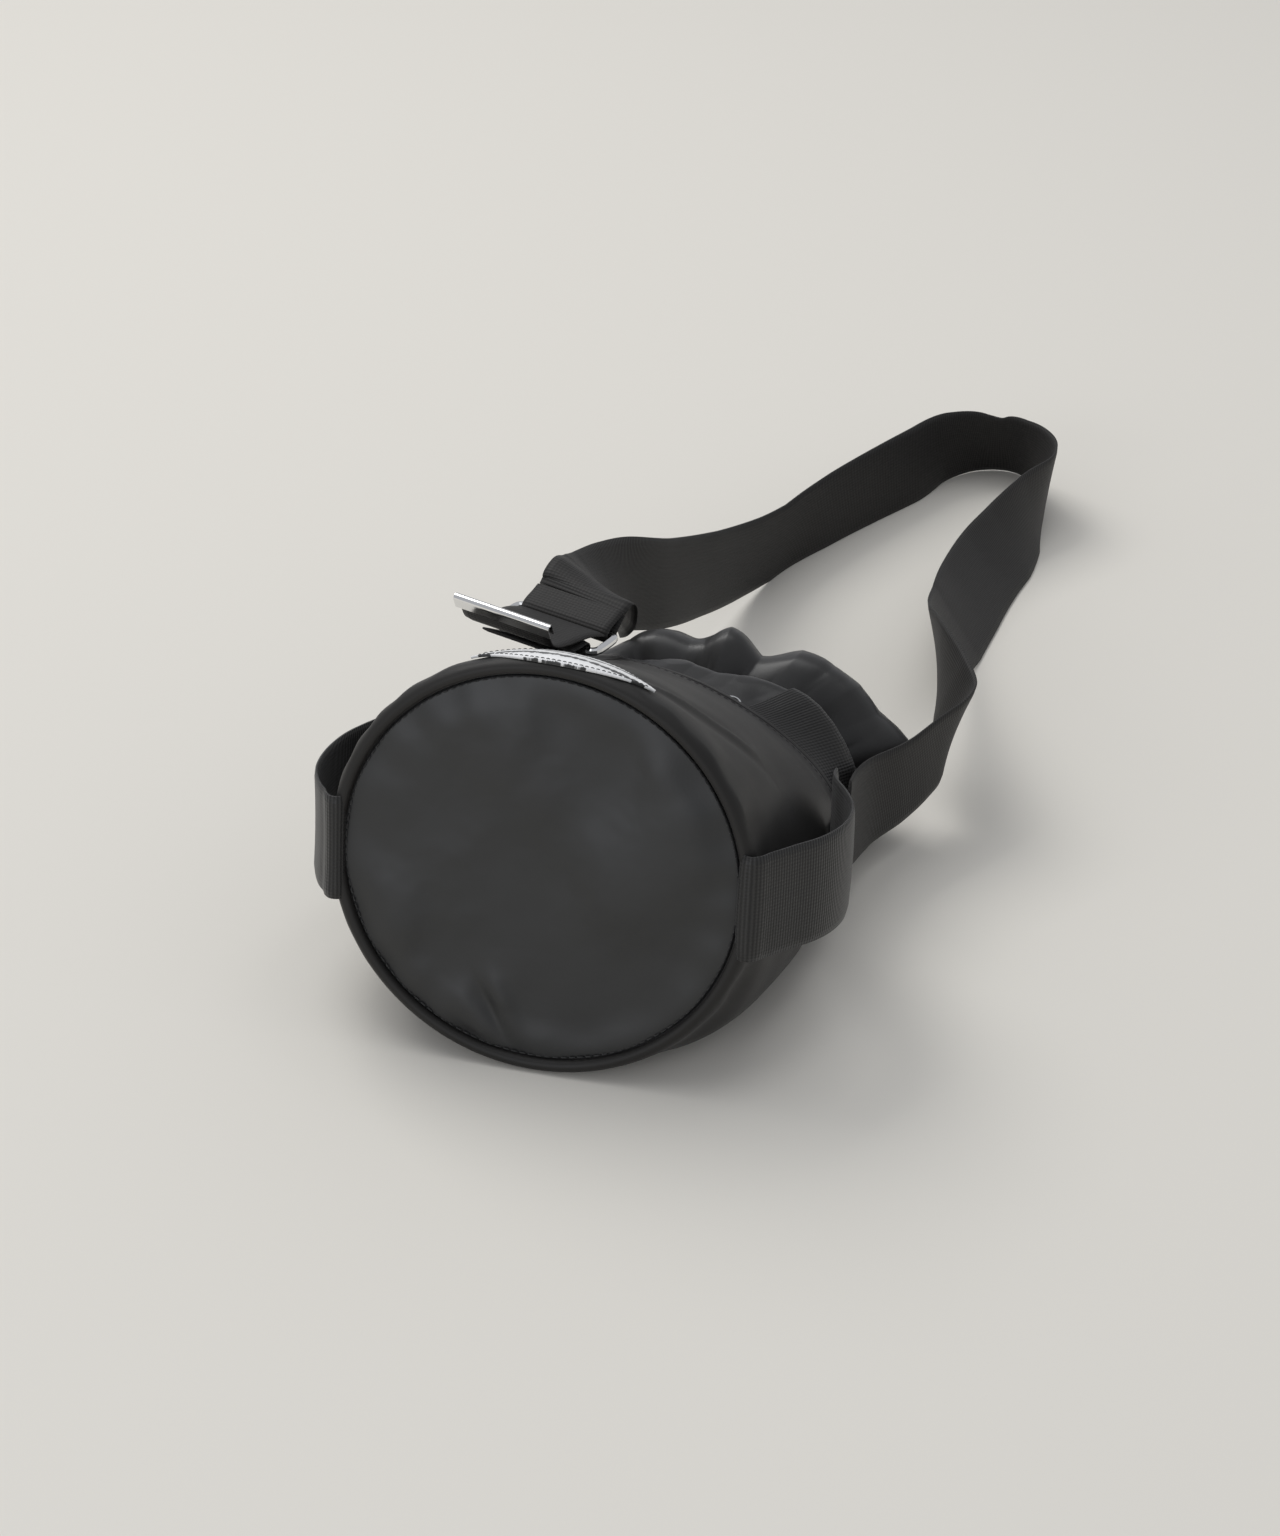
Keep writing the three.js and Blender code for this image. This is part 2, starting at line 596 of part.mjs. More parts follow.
const LEG_LOW = LEG_HEIGHT - CORD_RADIUS - SLOT_CLEARANCE;
const LEG_HIGH = LEG_HEIGHT + CORD_RADIUS + SLOT_CLEARANCE;

function lockBody() {
  const [r, bore, soft] = [BARREL_RADIUS, BORE_RADIUS, 1.0];
  const barrel = turnedUp([[0, BARREL_FOOT], [r - soft, BARREL_FOOT], [r, BARREL_FOOT + soft],
    [r, BARREL_TOP - soft], [r - soft, BARREL_TOP], [bore, BARREL_TOP], [bore, BARREL_FLOOR],
    [0, BARREL_FLOOR]], 28);
  return fromManifold(toManifold(barrel).subtract(toManifold(crossSlot(LEG_LOW, LEG_HIGH))));
}

function lockPlunger() {
  const [r, soft] = [PLUNGER_RADIUS, 1.2];
  const body = turnedUp([[0, PLUNGER_FOOT], [r, PLUNGER_FOOT], [r, PLUNGER_TOP - soft],
    [r - soft, PLUNGER_TOP - 0.2], [0, PLUNGER_TOP]], 28);
  const slot = crossSlot(LEG_LOW, LEG_HIGH + PRESS_TRAVEL);
  return fromManifold(toManifold(body).subtract(toManifold(slot)));
}

function lockSpring() {
  const [wire, radius, turns, gap] = [0.35, 4.2, 4, 0.3];
  const [low, high] = [BARREL_FLOOR + gap + wire, PLUNGER_FOOT - gap - wire];
  const route = [];
  for (let i = 0; i <= turns * 10; i += 1) {
    const angle = (i / 10) * 2 * Math.PI;
    const height = THREE.MathUtils.mapLinear(i, 0, turns * 10, low, high);
    const [x, y] = [LOCK_X + radius * Math.cos(angle), LOCK_Y + radius * Math.sin(angle)];
    route.push(new THREE.Vector3(x, y, height));
  }
  return tube(route, wire, turns * 16, 2);
}

function cordKnot() {
  const knot = new THREE.SphereGeometry(1, 16, 10);
  return knot.scale(6.4, 5.0, 4.6).translate(LOCK_X, LEG_END + 5.4, LEG_HEIGHT);
}

// ---- assembly ----
add('base_panel', basePanel(), 'nylon');
add('base_foam', baseFoam(), 'foam');
add('base_seam_binding', seamBinding(), 'thread');
add('body_shell', bodyShell(), 'nylon');
add('body_lining', bodyLining(), 'lining');
add('rim_hem', rimHem(), 'nylon');
add('collar', collar(), 'nylon');
add('cord_channel', cordChannel(), 'nylon');
add('drawcord', drawcord(), 'cord');
add('neck_eyelet_left', neckEyelet(62), 'nickel');
add('neck_eyelet_right', neckEyelet(45), 'nickel');
add('neck_webbing_band', skinPatch(0, 37.5, COLLAR_RADIUS + 0.6, 1.2, 122, 142, 5), 'webbing');
add('left_side_loop', sideLoop(LEFT_LOOP, -1), 'webbing');
add('right_side_loop', sideLoop(RIGHT_LOOP, 1), 'webbing');
add('label_patch', labelPatch(), 'label');
add('strap_anchor_patch', skinPatch(-29, 2, BASE_RADIUS + 0.6, 1.2, 91.5, 111, 6), 'webbing');
add('shoulder_strap', shoulderStrap(), 'webbing');
add('strap_eye', strapEye(), 'webbing');
add('ring_tab', ringTab(), 'webbing');
add('strap_ring', strapRing(), 'chrome');
add('strap_tail', strapTail(), 'webbing');
add('strap_tip', strapTip(), 'chrome');
add('cord_lock_body', lockBody(), 'plastic');
add('cord_lock_button', lockPlunger(), 'plastic');
add('cord_lock_spring', lockSpring(), 'spring');
add('cord_knot', cordKnot(), 'cord');

export default bag;
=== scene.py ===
import math
import bpy
import bmesh
import numpy as np
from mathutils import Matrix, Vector, noise


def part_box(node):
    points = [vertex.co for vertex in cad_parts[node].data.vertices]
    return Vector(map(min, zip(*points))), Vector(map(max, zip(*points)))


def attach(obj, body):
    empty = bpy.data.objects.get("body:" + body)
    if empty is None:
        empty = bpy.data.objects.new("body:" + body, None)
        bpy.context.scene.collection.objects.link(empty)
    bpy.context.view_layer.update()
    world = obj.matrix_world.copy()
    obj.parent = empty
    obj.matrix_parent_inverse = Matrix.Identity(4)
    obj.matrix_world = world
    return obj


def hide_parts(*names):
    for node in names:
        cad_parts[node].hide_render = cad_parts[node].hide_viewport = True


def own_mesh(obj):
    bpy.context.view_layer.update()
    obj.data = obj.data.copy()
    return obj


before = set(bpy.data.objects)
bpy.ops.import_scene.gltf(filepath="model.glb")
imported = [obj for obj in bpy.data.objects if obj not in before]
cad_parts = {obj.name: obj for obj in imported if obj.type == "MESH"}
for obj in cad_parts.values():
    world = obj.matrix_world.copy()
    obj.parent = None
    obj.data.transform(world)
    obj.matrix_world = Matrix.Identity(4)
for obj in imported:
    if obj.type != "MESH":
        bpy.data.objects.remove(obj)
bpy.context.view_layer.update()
MM = 0.001

# Lengths are in mm unless a comment says metres. Pieces are laid out from a drawing origin on the floor
# below the middle of the base, and FRAME_SHIFT takes them to the part's own origin.
FRAME_SHIFT = np.array([2.8, 109.5, 0.0])

# ---------------------------------------------------------------- camera
CAMERA_AT = np.array([280.8, -872.9, 644.5]) - FRAME_SHIFT
CAMERA_LOOK = Vector((-0.2341, 0.8338, -0.5))
SENSOR_HEIGHT, LENS = 36.0, 75.0
cam_data = bpy.data.cameras.new("camera")
cam_data.sensor_fit = "VERTICAL"
cam_data.sensor_height = SENSOR_HEIGHT
cam_data.lens = LENS
cam_data.clip_start = 0.05
cam_data.clip_end = 50.0
camera = bpy.data.objects.new("camera", cam_data)
camera.location = Vector(CAMERA_AT * MM)
camera.rotation_euler = CAMERA_LOOK.to_track_quat("-Z", "Y").to_euler()
bpy.context.collection.objects.link(camera)
bpy.context.scene.camera = camera

# ---------------------------------------------------------------- the bag's own shape
TILT = math.radians(8.93)
BASE_R = 75.5
COLLAR_R = 71.0
# Inside CORE_R a section only shrinks evenly. CLOTH_R turns an angle into mm of cloth, for the weave.
CORE_R = 60.0
CLOTH_R = 74.0
# Along the bag from the base: half width, top, foot lift, sideways shift, and how square the outline is
# in its upper and its lower half.
SECTIONS = np.array([
    [-6, 75.5, 75.5, 0.0, 0, 2.0, 2.0],
    [0, 75.5, 75.5, 0.0, 0, 2.0, 2.0],
    [8, 75.5, 75.0, 0.0, 0, 2.0, 2.2],
    [20, 76.5, 71.5, 0.0, 0, 1.95, 3.0],
    [40, 78.2, 64.2, 0.0, 0, 1.9, 3.8],
    [60, 79.6, 57.0, 0.0, 0, 1.8, 4.4],
    [80, 81.0, 49.6, 0.0, 0, 1.75, 4.6],
    [100, 81.6, 42.4, 0.0, 0, 1.65, 4.6],
    [117, 79.8, 37.4, 0.0, 0, 1.6, 4.2],
    [128, 76.5, 34.0, -1.0, 4, 1.9, 3.6],
    [140, 74.0, 32.0, -1.5, 10, 2.4, 3.2],
    [153, 60.0, 18.0, 6.0, 15, 2.2, 2.8],
    [168, 74.0, 35.0, -1.5, 21, 2.0, 2.8],
    [184, 74.0, 32.0, -1.5, 21, 2.0, 2.8],
    [196, 66.0, 24.0, 4.0, 20, 2.0, 2.6],
])
PLEATS, PLEAT_DEPTH = 8, 2.4
PLEATS_START, PLEATS_FULL = 122, 165


def smoothstep(x, a, b):
    """Rises smoothly from 0 at a to 1 at b."""
    t = np.clip((np.asarray(x, float) - a) / (b - a), 0, 1)
    return t * t * (3 - 2 * t)


def section(along):
    """The section table at each distance along the bag, on a smooth cubic through its rows, as in the CAD."""
    at, values = SECTIONS[:, 0], SECTIONS[:, 1:]
    along = np.clip(np.asarray(along, float), at[0], at[-1])
    end = len(at) - 1
    i = np.clip(np.searchsorted(at, along, side="right"), 1, end)
    first, last = i == 1, i == end
    t0, t1 = at[i - 1], at[i]
    before = np.where(first, i, i - 2)
    t_before = np.where(first, 2 * t0 - t1, at[np.maximum(i - 2, 0)])
    after = np.where(last, i - 1, np.minimum(i + 1, end))
    t_after = np.where(last, 2 * t1 - t0, at[np.minimum(i + 1, end)])
    half = (t1 - t0) / 2
    pull_back, pull_on = half / (t0 - t_before), half / (t_after - t1)
    p = (along - t0) / (t1 - t0)
    p2, p3 = p * p, p * p * p
    weight_before = -pull_back * p3 + 2 * pull_back * p2 - pull_back * p
    weight_low = (1 + pull_back) * p3 + (-1.5 - 2 * pull_back) * p2 + (-0.5 + pull_back) * p + 1
    weight_high = (-1 - pull_on) * p3 + (1.5 + pull_on) * p2 + 0.5 * p
    weight_after = pull_on * p3 - pull_on * p2
    out = (weight_before[..., None] * values[before] + weight_low[..., None] * values[i - 1]
           + weight_high[..., None] * values[i] + weight_after[..., None] * values[after])
    return [out[..., k] for k in range(values.shape[1])]


def outline(angle, along):
    """The bag's outer reach at each angle, with its middle's sideways shift and height."""
    half, top, lift, shift, top_power, foot_power = section(along)
    foot = lift - BASE_R + np.maximum(along, 0) * math.tan(TILT)
    tall = (top - foot) / 2
    power = np.where(np.sin(angle) > 0, top_power, foot_power)
    wide = (np.abs(np.cos(angle)) / half) ** power
    high = (np.abs(np.sin(angle)) / tall) ** power
    pleat = PLEAT_DEPTH * smoothstep(along, PLEATS_START, PLEATS_FULL)
    reach = (wide + high) ** (-1 / power) + pleat * np.cos(PLEATS * angle + 0.6) - pleat
    return reach, shift, (top + foot) / 2


def lay_down(x, y, z):
    """From the bag's own axes to the part's frame, in metres."""
    c, s = math.cos(TILT), math.sin(TILT)
    out = np.stack([x, y * c + z * s, z * c - y * s + BASE_R * c], -1)
    return (out - FRAME_SHIFT) * MM


def slump(radius, angle, along):
    """Points in metres on a round bag of BASE_R, slumped to its outline. Its core only shrinks evenly."""
    radius, angle, along = np.broadcast_arrays(
        np.asarray(radius, float), np.asarray(angle, float), np.asarray(along, float))
    reach, cx, cz = outline(angle, along)
    inner = radius * (reach - BASE_R + CORE_R) / CORE_R
    r = np.where(radius < CORE_R, inner, reach - BASE_R + radius)
    return lay_down(cx + r * np.cos(angle), along, cz + r * np.sin(angle))


# ---------------------------------------------------------------- meshes
def ripple(points, scale, seed, octaves=3):
    """Smooth seeded noise, mostly from -1 to 1, at each point, points in metres and scale in mm."""
    roughness, step = 0.9, 2.0
    flat = np.asarray(points).reshape(-1, 3) / (scale * MM)
    offset = Vector((seed * 3.17, seed * 1.71, seed * 2.43))
    out = [noise.fractal(Vector(p) + offset, roughness, step, octaves) for p in flat]
    return np.array(out).reshape(np.asarray(points).shape[:-1])


def mesh_object(name, verts, faces, uvs=None):
    """A smooth-shaded object, its vertices in metres and uvs one per vertex in mm."""
    mesh = bpy.data.meshes.new(name)
    mesh.from_pydata([tuple(v) for v in np.asarray(verts).reshape(-1, 3)], [], [tuple(f) for f in faces])
    if uvs is not None:
        layer = mesh.uv_layers.new(name="uv")
        flat = np.asarray(uvs, float).reshape(-1, 2)
        loops = np.empty(len(mesh.loops), dtype=np.int32)
        mesh.loops.foreach_get("vertex_index", loops)
        layer.data.foreach_set("uv", flat[loops].ravel())
    mesh.validate()
    bm = bmesh.new()
    bm.from_mesh(mesh)
    bmesh.ops.remove_doubles(bm, verts=bm.verts, dist=1e-7)
    bmesh.ops.recalc_face_normals(bm, faces=bm.faces)
    bm.to_mesh(mesh)
    bm.free()
    for polygon in mesh.polygons:
        polygon.use_smooth = True
    obj = bpy.data.objects.new(name, mesh)
    bpy.context.collection.objects.link(obj)
    return obj


def run_length(points):
    """Distance along the points, from 0 at the first."""
    steps = np.linalg.norm(np.diff(np.asarray(points), axis=0), axis=1)
    return np.concatenate([[0], np.cumsum(steps)])


def grid_faces(rows, cols, wrap_rows=False):
    """Quads between rows of points, each row a closed ring."""
    faces = []
    for i in range(rows if wrap_rows else rows - 1):
        for j in range(cols):
            a, b = i * cols + j, i * cols + (j + 1) % cols
            c, d = ((i + 1) % rows) * cols + (j + 1) % cols, ((i + 1) % rows) * cols + j
            faces.append((a, b, c, d))
    return faces


def tube_faces(rows, cols):
    """Quads between rows of points, with both ends closed."""
    ends = [tuple(range(cols))[::-1], tuple(range((rows - 1) * cols, rows * cols))]
    return grid_faces(rows, cols) + ends


def turned(name, profile, turns, dent=None, closed=True):
    """A slumped round piece. profile lists (radius, along), joined end to end where closed, and
    dent(radius, angle, along) shapes its cloth."""
    profile = np.array(profile, float)
    angle = np.linspace(0, 2 * np.pi, turns, endpoint=False)
    radius = profile[:, 0][:, None] + np.zeros_like(angle)[None]
    along = profile[:, 1][:, None] + np.zeros_like(angle)[None]
    angle = angle[None] + np.zeros_like(radius)
    if dent is not None:
        radius, along = dent(radius, angle, along)
    verts = slump(radius, angle, along)
    uvs = np.stack([angle * CLOTH_R, run_length(profile)[:, None] + 0 * angle], -1)
    return mesh_object(name, verts, grid_faces(len(profile), turns, closed), uvs)


def catmull(points, t):
    """Centripetal Catmull-Rom through the points, t from 0 to 1 with the same step between each two."""
    points = np.asarray(points, float)
    n = len(points) - 1
    ext = np.vstack([2 * points[0] - points[1], points, 2 * points[-1] - points[-2]])
    t = np.clip(np.asarray(t, float), 0, 1) * n
    i = np.minimum(t.astype(int), n - 1)
    w = (t - i)[:, None]
    p0, p1, p2, p3 = ext[i], ext[i + 1], ext[i + 2], ext[i + 3]
    d0, d1, d2 = [np.maximum(np.linalg.norm(b - a, axis=1, keepdims=True) ** 0.5, 1e-4)
                  for a, b in ((p0, p1), (p1, p2), (p2, p3))]
    m1 = ((p1 - p0) / d0 - (p2 - p0) / (d0 + d1) + (p2 - p1) / d1) * d1
    m2 = ((p2 - p1) / d1 - (p3 - p1) / (d1 + d2) + (p3 - p2) / d2) * d1
    return (p1 + m1 * w + (-3 * p1 + 3 * p2 - 2 * m1 - m2) * w ** 2
            + (2 * p1 - 2 * p2 + m1 + m2) * w ** 3)


def unit(v):
    """Each row scaled to length 1."""
    return v / np.maximum(np.linalg.norm(v, axis=-1, keepdims=True), 1e-12)


WEB_WIDTH = 38.0
WEB_THICK = 1.5
SELVEDGE_START, SELVEDGE_THINNING = 0.93, 0.55


def ribbon_frame(route, edges, steps, width, thick, lowest):
    """Points along a strip, with its directions along, across and out. No edge goes below lowest."""
    t = np.linspace(0, 1, steps)
    at = catmull(route, t)
    along = unit(np.gradient(at, axis=0))
    across = catmull(edges, t)
    across = unit(across - (across * along).sum(1, keepdims=True) * along)
    out = unit(np.cross(along, across))
    if lowest is not None:
        reach = (np.abs(across[:, 2]) * width + np.abs(out[:, 2]) * thick) / 2
        at[:, 2] = np.maximum(at[:, 2], lowest + reach)
    return at, along, across, out


def ribbon(name, route, edges, width=WEB_WIDTH, thick=WEB_THICK, steps=200, lowest=None, cup=0.0):
    """Webbing: a flat strip with thinner woven edges, bowed by cup. edges lists its direction across."""
    at, along, across, out = ribbon_frame(route, edges, steps, width, thick, lowest)
    thinning = SELVEDGE_THINNING / (1 - SELVEDGE_START)
    top = [(a * width / 2, thick / 2 * (1 - thinning * max(0.0, abs(a) - SELVEDGE_START)))
           for a in np.linspace(-1, 1, 15)]
    ring = top + [(x, -y) for x, y in reversed(top)]
    lengths = run_length(at)
    verts = np.zeros((steps, len(ring), 3))
    uvs = np.zeros((steps, len(ring), 2))
    for k, (x, y) in enumerate(ring):
        bow = cup * (1 - (2 * x / width) ** 2)
        verts[:, k] = at + across * x + out * (y + bow)
        uvs[:, k] = np.stack([np.full(steps, x), lengths], -1)
    verts = (verts - FRAME_SHIFT) * MM
    return mesh_object(name, verts, tube_faces(steps, len(ring)), uvs), at, across, out


def tube_object(name, points, radius, steps=200, sides=12):
    """A round cord or wire along a smooth curve through the points."""
    at = catmull(points, np.linspace(0, 1, steps))
    along = unit(np.gradient(at, axis=0))
    normal = np.array([0.0, 0.0, 1.0])
    verts, uvs = [], []
    for p, d, length in zip(at, along, run_length(at)):
        normal = normal - d * normal.dot(d)
        if np.linalg.norm(normal) < 1e-3:
            normal = np.cross(d, [1.0, 0, 0])
        normal = normal / np.linalg.norm(normal)
        other = np.cross(d, normal)
        for k in range(sides):
            a = 2 * math.pi * k / sides
            verts.append(p + radius * (math.cos(a) * normal + math.sin(a) * other))
            uvs.append((radius * a, length))
    verts = (np.array(verts) - FRAME_SHIFT) * MM
    return mesh_object(name, verts, tube_faces(steps, sides), np.array(uvs))


STITCH_SIDES, STITCH_ROWS, STITCH_RISE, STITCH_SINK = 6, 5, 0.22, 0.05


def stitch_row(name, points, normals, pitch=3.2, dash=2.1, radius=0.28):
    """Separate thread stitches along a line of points in metres, each a short arched tube."""
    points, normals = np.asarray(points, float), unit(np.asarray(normals, float))
    lengths = run_length(points)
    share = np.linspace(0, 1, STITCH_ROWS)
    arch = (np.sin(share * math.pi) * STITCH_RISE - STITCH_SINK) * MM
    verts, faces = [], []
    for k in range(max(int(lengths[-1] / (pitch * MM)), 1)):
        place = (k * pitch + share * dash) * MM
        if place[-1] > lengths[-1]:
            break
        line = np.stack([np.interp(place, lengths, points[:, i]) for i in range(3)], -1)
        up = unit(np.stack([np.interp(place, lengths, normals[:, i]) for i in range(3)], -1))
        line = line + up * arch[:, None]
        heading = unit(np.gradient(line, axis=0))
        start = len(verts)
        for p, h, n in zip(line, heading, up):
            side = np.cross(h, n)
            for a in range(STITCH_SIDES):
                turned_by = a * 2 * math.pi / STITCH_SIDES
                verts.append(p + (math.cos(turned_by) * n + math.sin(turned_by) * side) * radius * MM)
        faces += [tuple(start + v for v in face) for face in tube_faces(STITCH_ROWS, STITCH_SIDES)]
    return mesh_object(name, np.array(verts), faces)


# ---------------------------------------------------------------- materials
def material(name):
    """A new material, with its nodes, its links and its shader."""
    mat = bpy.data.materials.new(name)
    mat.use_nodes = True
    nodes, links = mat.node_tree.nodes, mat.node_tree.links
    shader = nodes["Principled BSDF"]
    return mat, nodes, links, shader


def scaled_uv(nodes, links, sx=1.0, sy=1.0, rot=0.0):
    """The piece's own uv, which is in mm, scaled and turned."""
    uv = nodes.new("ShaderNodeUVMap")
    uv.uv_map = "uv"
    mapping = nodes.new("ShaderNodeMapping")
    mapping.inputs["Scale"].default_value = (sx, sy, 1)
    mapping.inputs["Rotation"].default_value = (0, 0, rot)
    links.new(uv.outputs["UV"], mapping.inputs["Vector"])
    return mapping.outputs["Vector"]


def wave(nodes, links, vector, scale, direction="X", distortion=0.0):
    """Straight bands of threads or ribs."""
    node = nodes.new("ShaderNodeTexWave")
    node.wave_type = "BANDS"
    node.bands_direction = direction
    node.wave_profile = "SIN"
    node.inputs["Scale"].default_value = scale
    node.inputs["Distortion"].default_value = distortion
    links.new(vector, node.inputs["Vector"])
    return node.outputs["Fac"]


def noise_tex(nodes, links, vector, scale, detail=3.0, roughness=0.55):
    """Cloudy noise."""
    node = nodes.new("ShaderNodeTexNoise")
    node.inputs["Scale"].default_value = scale
    node.inputs["Detail"].default_value = detail
    node.inputs["Roughness"].default_value = roughness
    links.new(vector, node.inputs["Vector"])
    return node.outputs["Fac"]


def object_vector(nodes):
    """The place on the object, in metres."""
    return nodes.new("ShaderNodeTexCoord").outputs["Object"]


def ramp(nodes, links, fac, stops):
    """Colours at each stop, a position and a colour, from lowest to highest."""
    node = nodes.new("ShaderNodeValToRGB")
    elements = node.color_ramp.elements
    elements[0].position, elements[0].color = stops[0]
    elements[1].position, elements[1].color = stops[-1]
    for position, color in stops[1:-1]:
        element = elements.new(position)
        element.color = color
    links.new(fac, node.inputs["Fac"])
    return node.outputs["Color"]


def spread(nodes, links, fac, low, high):
    """A factor from 0 to 1 turned into one from low to high."""
    node = nodes.new("ShaderNodeMapRange")
    node.inputs["To Min"].default_value = low
    node.inputs["To Max"].default_value = high
    links.new(fac, node.inputs["Value"])
    return node.outputs["Result"]


def blended(nodes, links, one, two, share=0.5):
    """Two factors mixed, with share of the second."""
    node = nodes.new("ShaderNodeMix")
    node.data_type = "FLOAT"
    node.inputs["Factor"].default_value = share
    links.new(one, node.inputs["A"])
    links.new(two, node.inputs["B"])
    return node.outputs["Result"]


def bump(nodes, links, height, strength, distance, normal=None):
    """A bumped normal, on top of another where one is given; distance in mm."""
    node = nodes.new("ShaderNodeBump")
    node.inputs["Strength"].default_value = strength
    node.inputs["Distance"].default_value = distance * MM
    links.new(height, node.inputs["Height"])
    if normal is not None:
        links.new(normal, node.inputs["Normal"])
    return node.outputs["Normal"]


def grey(v, warm=0.0):
    """A linear grey, a little yellow where warm is above 0 and a little blue below."""
    return (v * (1 + warm), v, v * (1 - warm), 1.0)


def nylon_material(name, low, high, rough, warm, sheen, crush, shine=0.5):
    """Tight nylon twill: a fine diagonal weave, faint crumples and a soft sheen."""
    mat, nodes, links, shader = material(name)
    where = object_vector(nodes)
    # Broad cloudy changes of tone: partly the cloth's own uneven tone and partly painted soft sheen.
    broad = noise_tex(nodes, links, where, 14.0, 4.0)
    links.new(ramp(nodes, links, broad, [(0.3, grey(low, warm)), (0.7, grey(high, warm))]),
              shader.inputs["Base Color"])
    links.new(spread(nodes, links, noise_tex(nodes, links, where, 40.0, 3.0), *rough),
              shader.inputs["Roughness"])
    shader.inputs["Sheen Weight"].default_value = sheen
    shader.inputs["Sheen Roughness"].default_value = 0.35
    shader.inputs["Specular IOR Level"].default_value = shine
    weave = wave(nodes, links, scaled_uv(nodes, links, 1, 1, math.radians(58)), 0.75)
    crumple = noise_tex(nodes, links, where, 95.0, 5.0, 0.6)
    first = bump(nodes, links, crumple, crush, 0.9)
    links.new(bump(nodes, links, weave, 0.16, 0.06, first), shader.inputs["Normal"])
    return mat


def webbing_material(name, low, high, along_rib, cross_rib, rough, sheen, warm, cross_scale, along_scale):
    """Woven webbing: ribs across the strap and warp lines along it."""
    mat, nodes, links, shader = material(name)
    vector = scaled_uv(nodes, links)
    cross = wave(nodes, links, vector, cross_scale, "Y", 0.25)
    lines = wave(nodes, links, vector, along_scale, "X", 0.15)
    fuzz = noise_tex(nodes, links, vector, 1.7, 4.0)
    mixed = blended(nodes, links, cross, fuzz)
    # The ribs across and the fuzz change its colour as well: partly the weave's own tone and partly painted
    # sheen on the ribs.
    links.new(ramp(nodes, links, mixed, [(0.25, grey(low, warm)), (0.8, grey(high, warm))]),
              shader.inputs["Base Color"])
    shader.inputs["Roughness"].default_value = rough
    shader.inputs["Sheen Weight"].default_value = sheen
    shader.inputs["Sheen Roughness"].default_value = 0.4
    shader.inputs["Specular IOR Level"].default_value = 0.3
    one = bump(nodes, links, cross, cross_rib, 0.22)
    two = bump(nodes, links, lines, along_rib, 0.16, one)
    links.new(bump(nodes, links, fuzz, 0.25, 0.12, two), shader.inputs["Normal"])
    return mat


def metal_material(name, tone, rough):
    """Bright metal with faint smudges and fine scratches."""
    mat, nodes, links, shader = material(name)
    where = object_vector(nodes)
    shader.inputs["Base Color"].default_value = grey(tone)
    shader.inputs["Metallic"].default_value = 1.0
    smudge = noise_tex(nodes, links, where, 160.0, 4.0)
    links.new(spread(nodes, links, smudge, rough * 0.7, rough * 1.5), shader.inputs["Roughness"])
    links.new(bump(nodes, links, noise_tex(nodes, links, where, 420.0, 2.0), 0.04, 0.1),
              shader.inputs["Normal"])
    return mat


def plastic_material(name, tone):
    """Moulded plastic with a fine satin grain."""
    mat, nodes, links, shader = material(name)
    where = object_vector(nodes)
    links.new(ramp(nodes, links, noise_tex(nodes, links, where, 60.0),
                   [(0.3, grey(tone * 0.85)), (0.7, grey(tone * 1.15))]), shader.inputs["Base Color"])
    shader.inputs["Roughness"].default_value = 0.42
    links.new(bump(nodes, links, noise_tex(nodes, links, where, 1400.0, 2.0), 0.12, 0.06),
              shader.inputs["Normal"])
    return mat


def thread_material(name, tone):
    """Sewing thread, uneven in tone along its run."""
    mat, nodes, links, shader = material(name)
    where = object_vector(nodes)
    links.new(ramp(nodes, links, noise_tex(nodes, links, where, 900.0),
                   [(0.3, grey(tone * 0.7)), (0.7, grey(tone * 1.3))]), shader.inputs["Base Color"])
    shader.inputs["Roughness"].default_value = 0.7
    shader.inputs["Sheen Weight"].default_value = 0.2
    return mat


def cord_material(name):
    """Round braid: two crossed sets of strands."""
    mat, nodes, links, shader = material(name)
    one = wave(nodes, links, scaled_uv(nodes, links, 1, 1, math.radians(35)), 0.42)
    two = wave(nodes, links, scaled_uv(nodes, links, 1, 1, math.radians(-35)), 0.42)
    strands = blended(nodes, links, one, two)
    links.new(ramp(nodes, links, strands, [(0.2, grey(0.008)), (0.8, grey(0.035))]),
              shader.inputs["Base Color"])
    shader.inputs["Roughness"].default_value = 0.75
    links.new(bump(nodes, links, strands, 0.6, 0.3), shader.inputs["Normal"])
    return mat


def label_material(name):
    """Pale woven patch with a plain dark brush pattern, no letters."""
    mat, nodes, links, shader = material(name)
    blot = noise_tex(nodes, links, scaled_uv(nodes, links, 0.16, 0.42), 1.0, 3.0, 0.6)
    band = wave(nodes, links, scaled_uv(nodes, links, 0.055, 0.0), 1.0, "X", 3.0)
    strokes = blended(nodes, links, blot, band, 0.35)
    links.new(ramp(nodes, links, strokes, [(0.40, grey(0.02)), (0.44, grey(0.75)), (0.7, grey(0.85))]),
              shader.inputs["Base Color"])
    shader.inputs["Roughness"].default_value = 0.5
    shader.inputs["Sheen Weight"].default_value = 0.3
    weave = wave(nodes, links, scaled_uv(nodes, links), 0.5, "Y")
    links.new(bump(nodes, links, weave, 0.3, 0.1), shader.inputs["Normal"])
    return mat


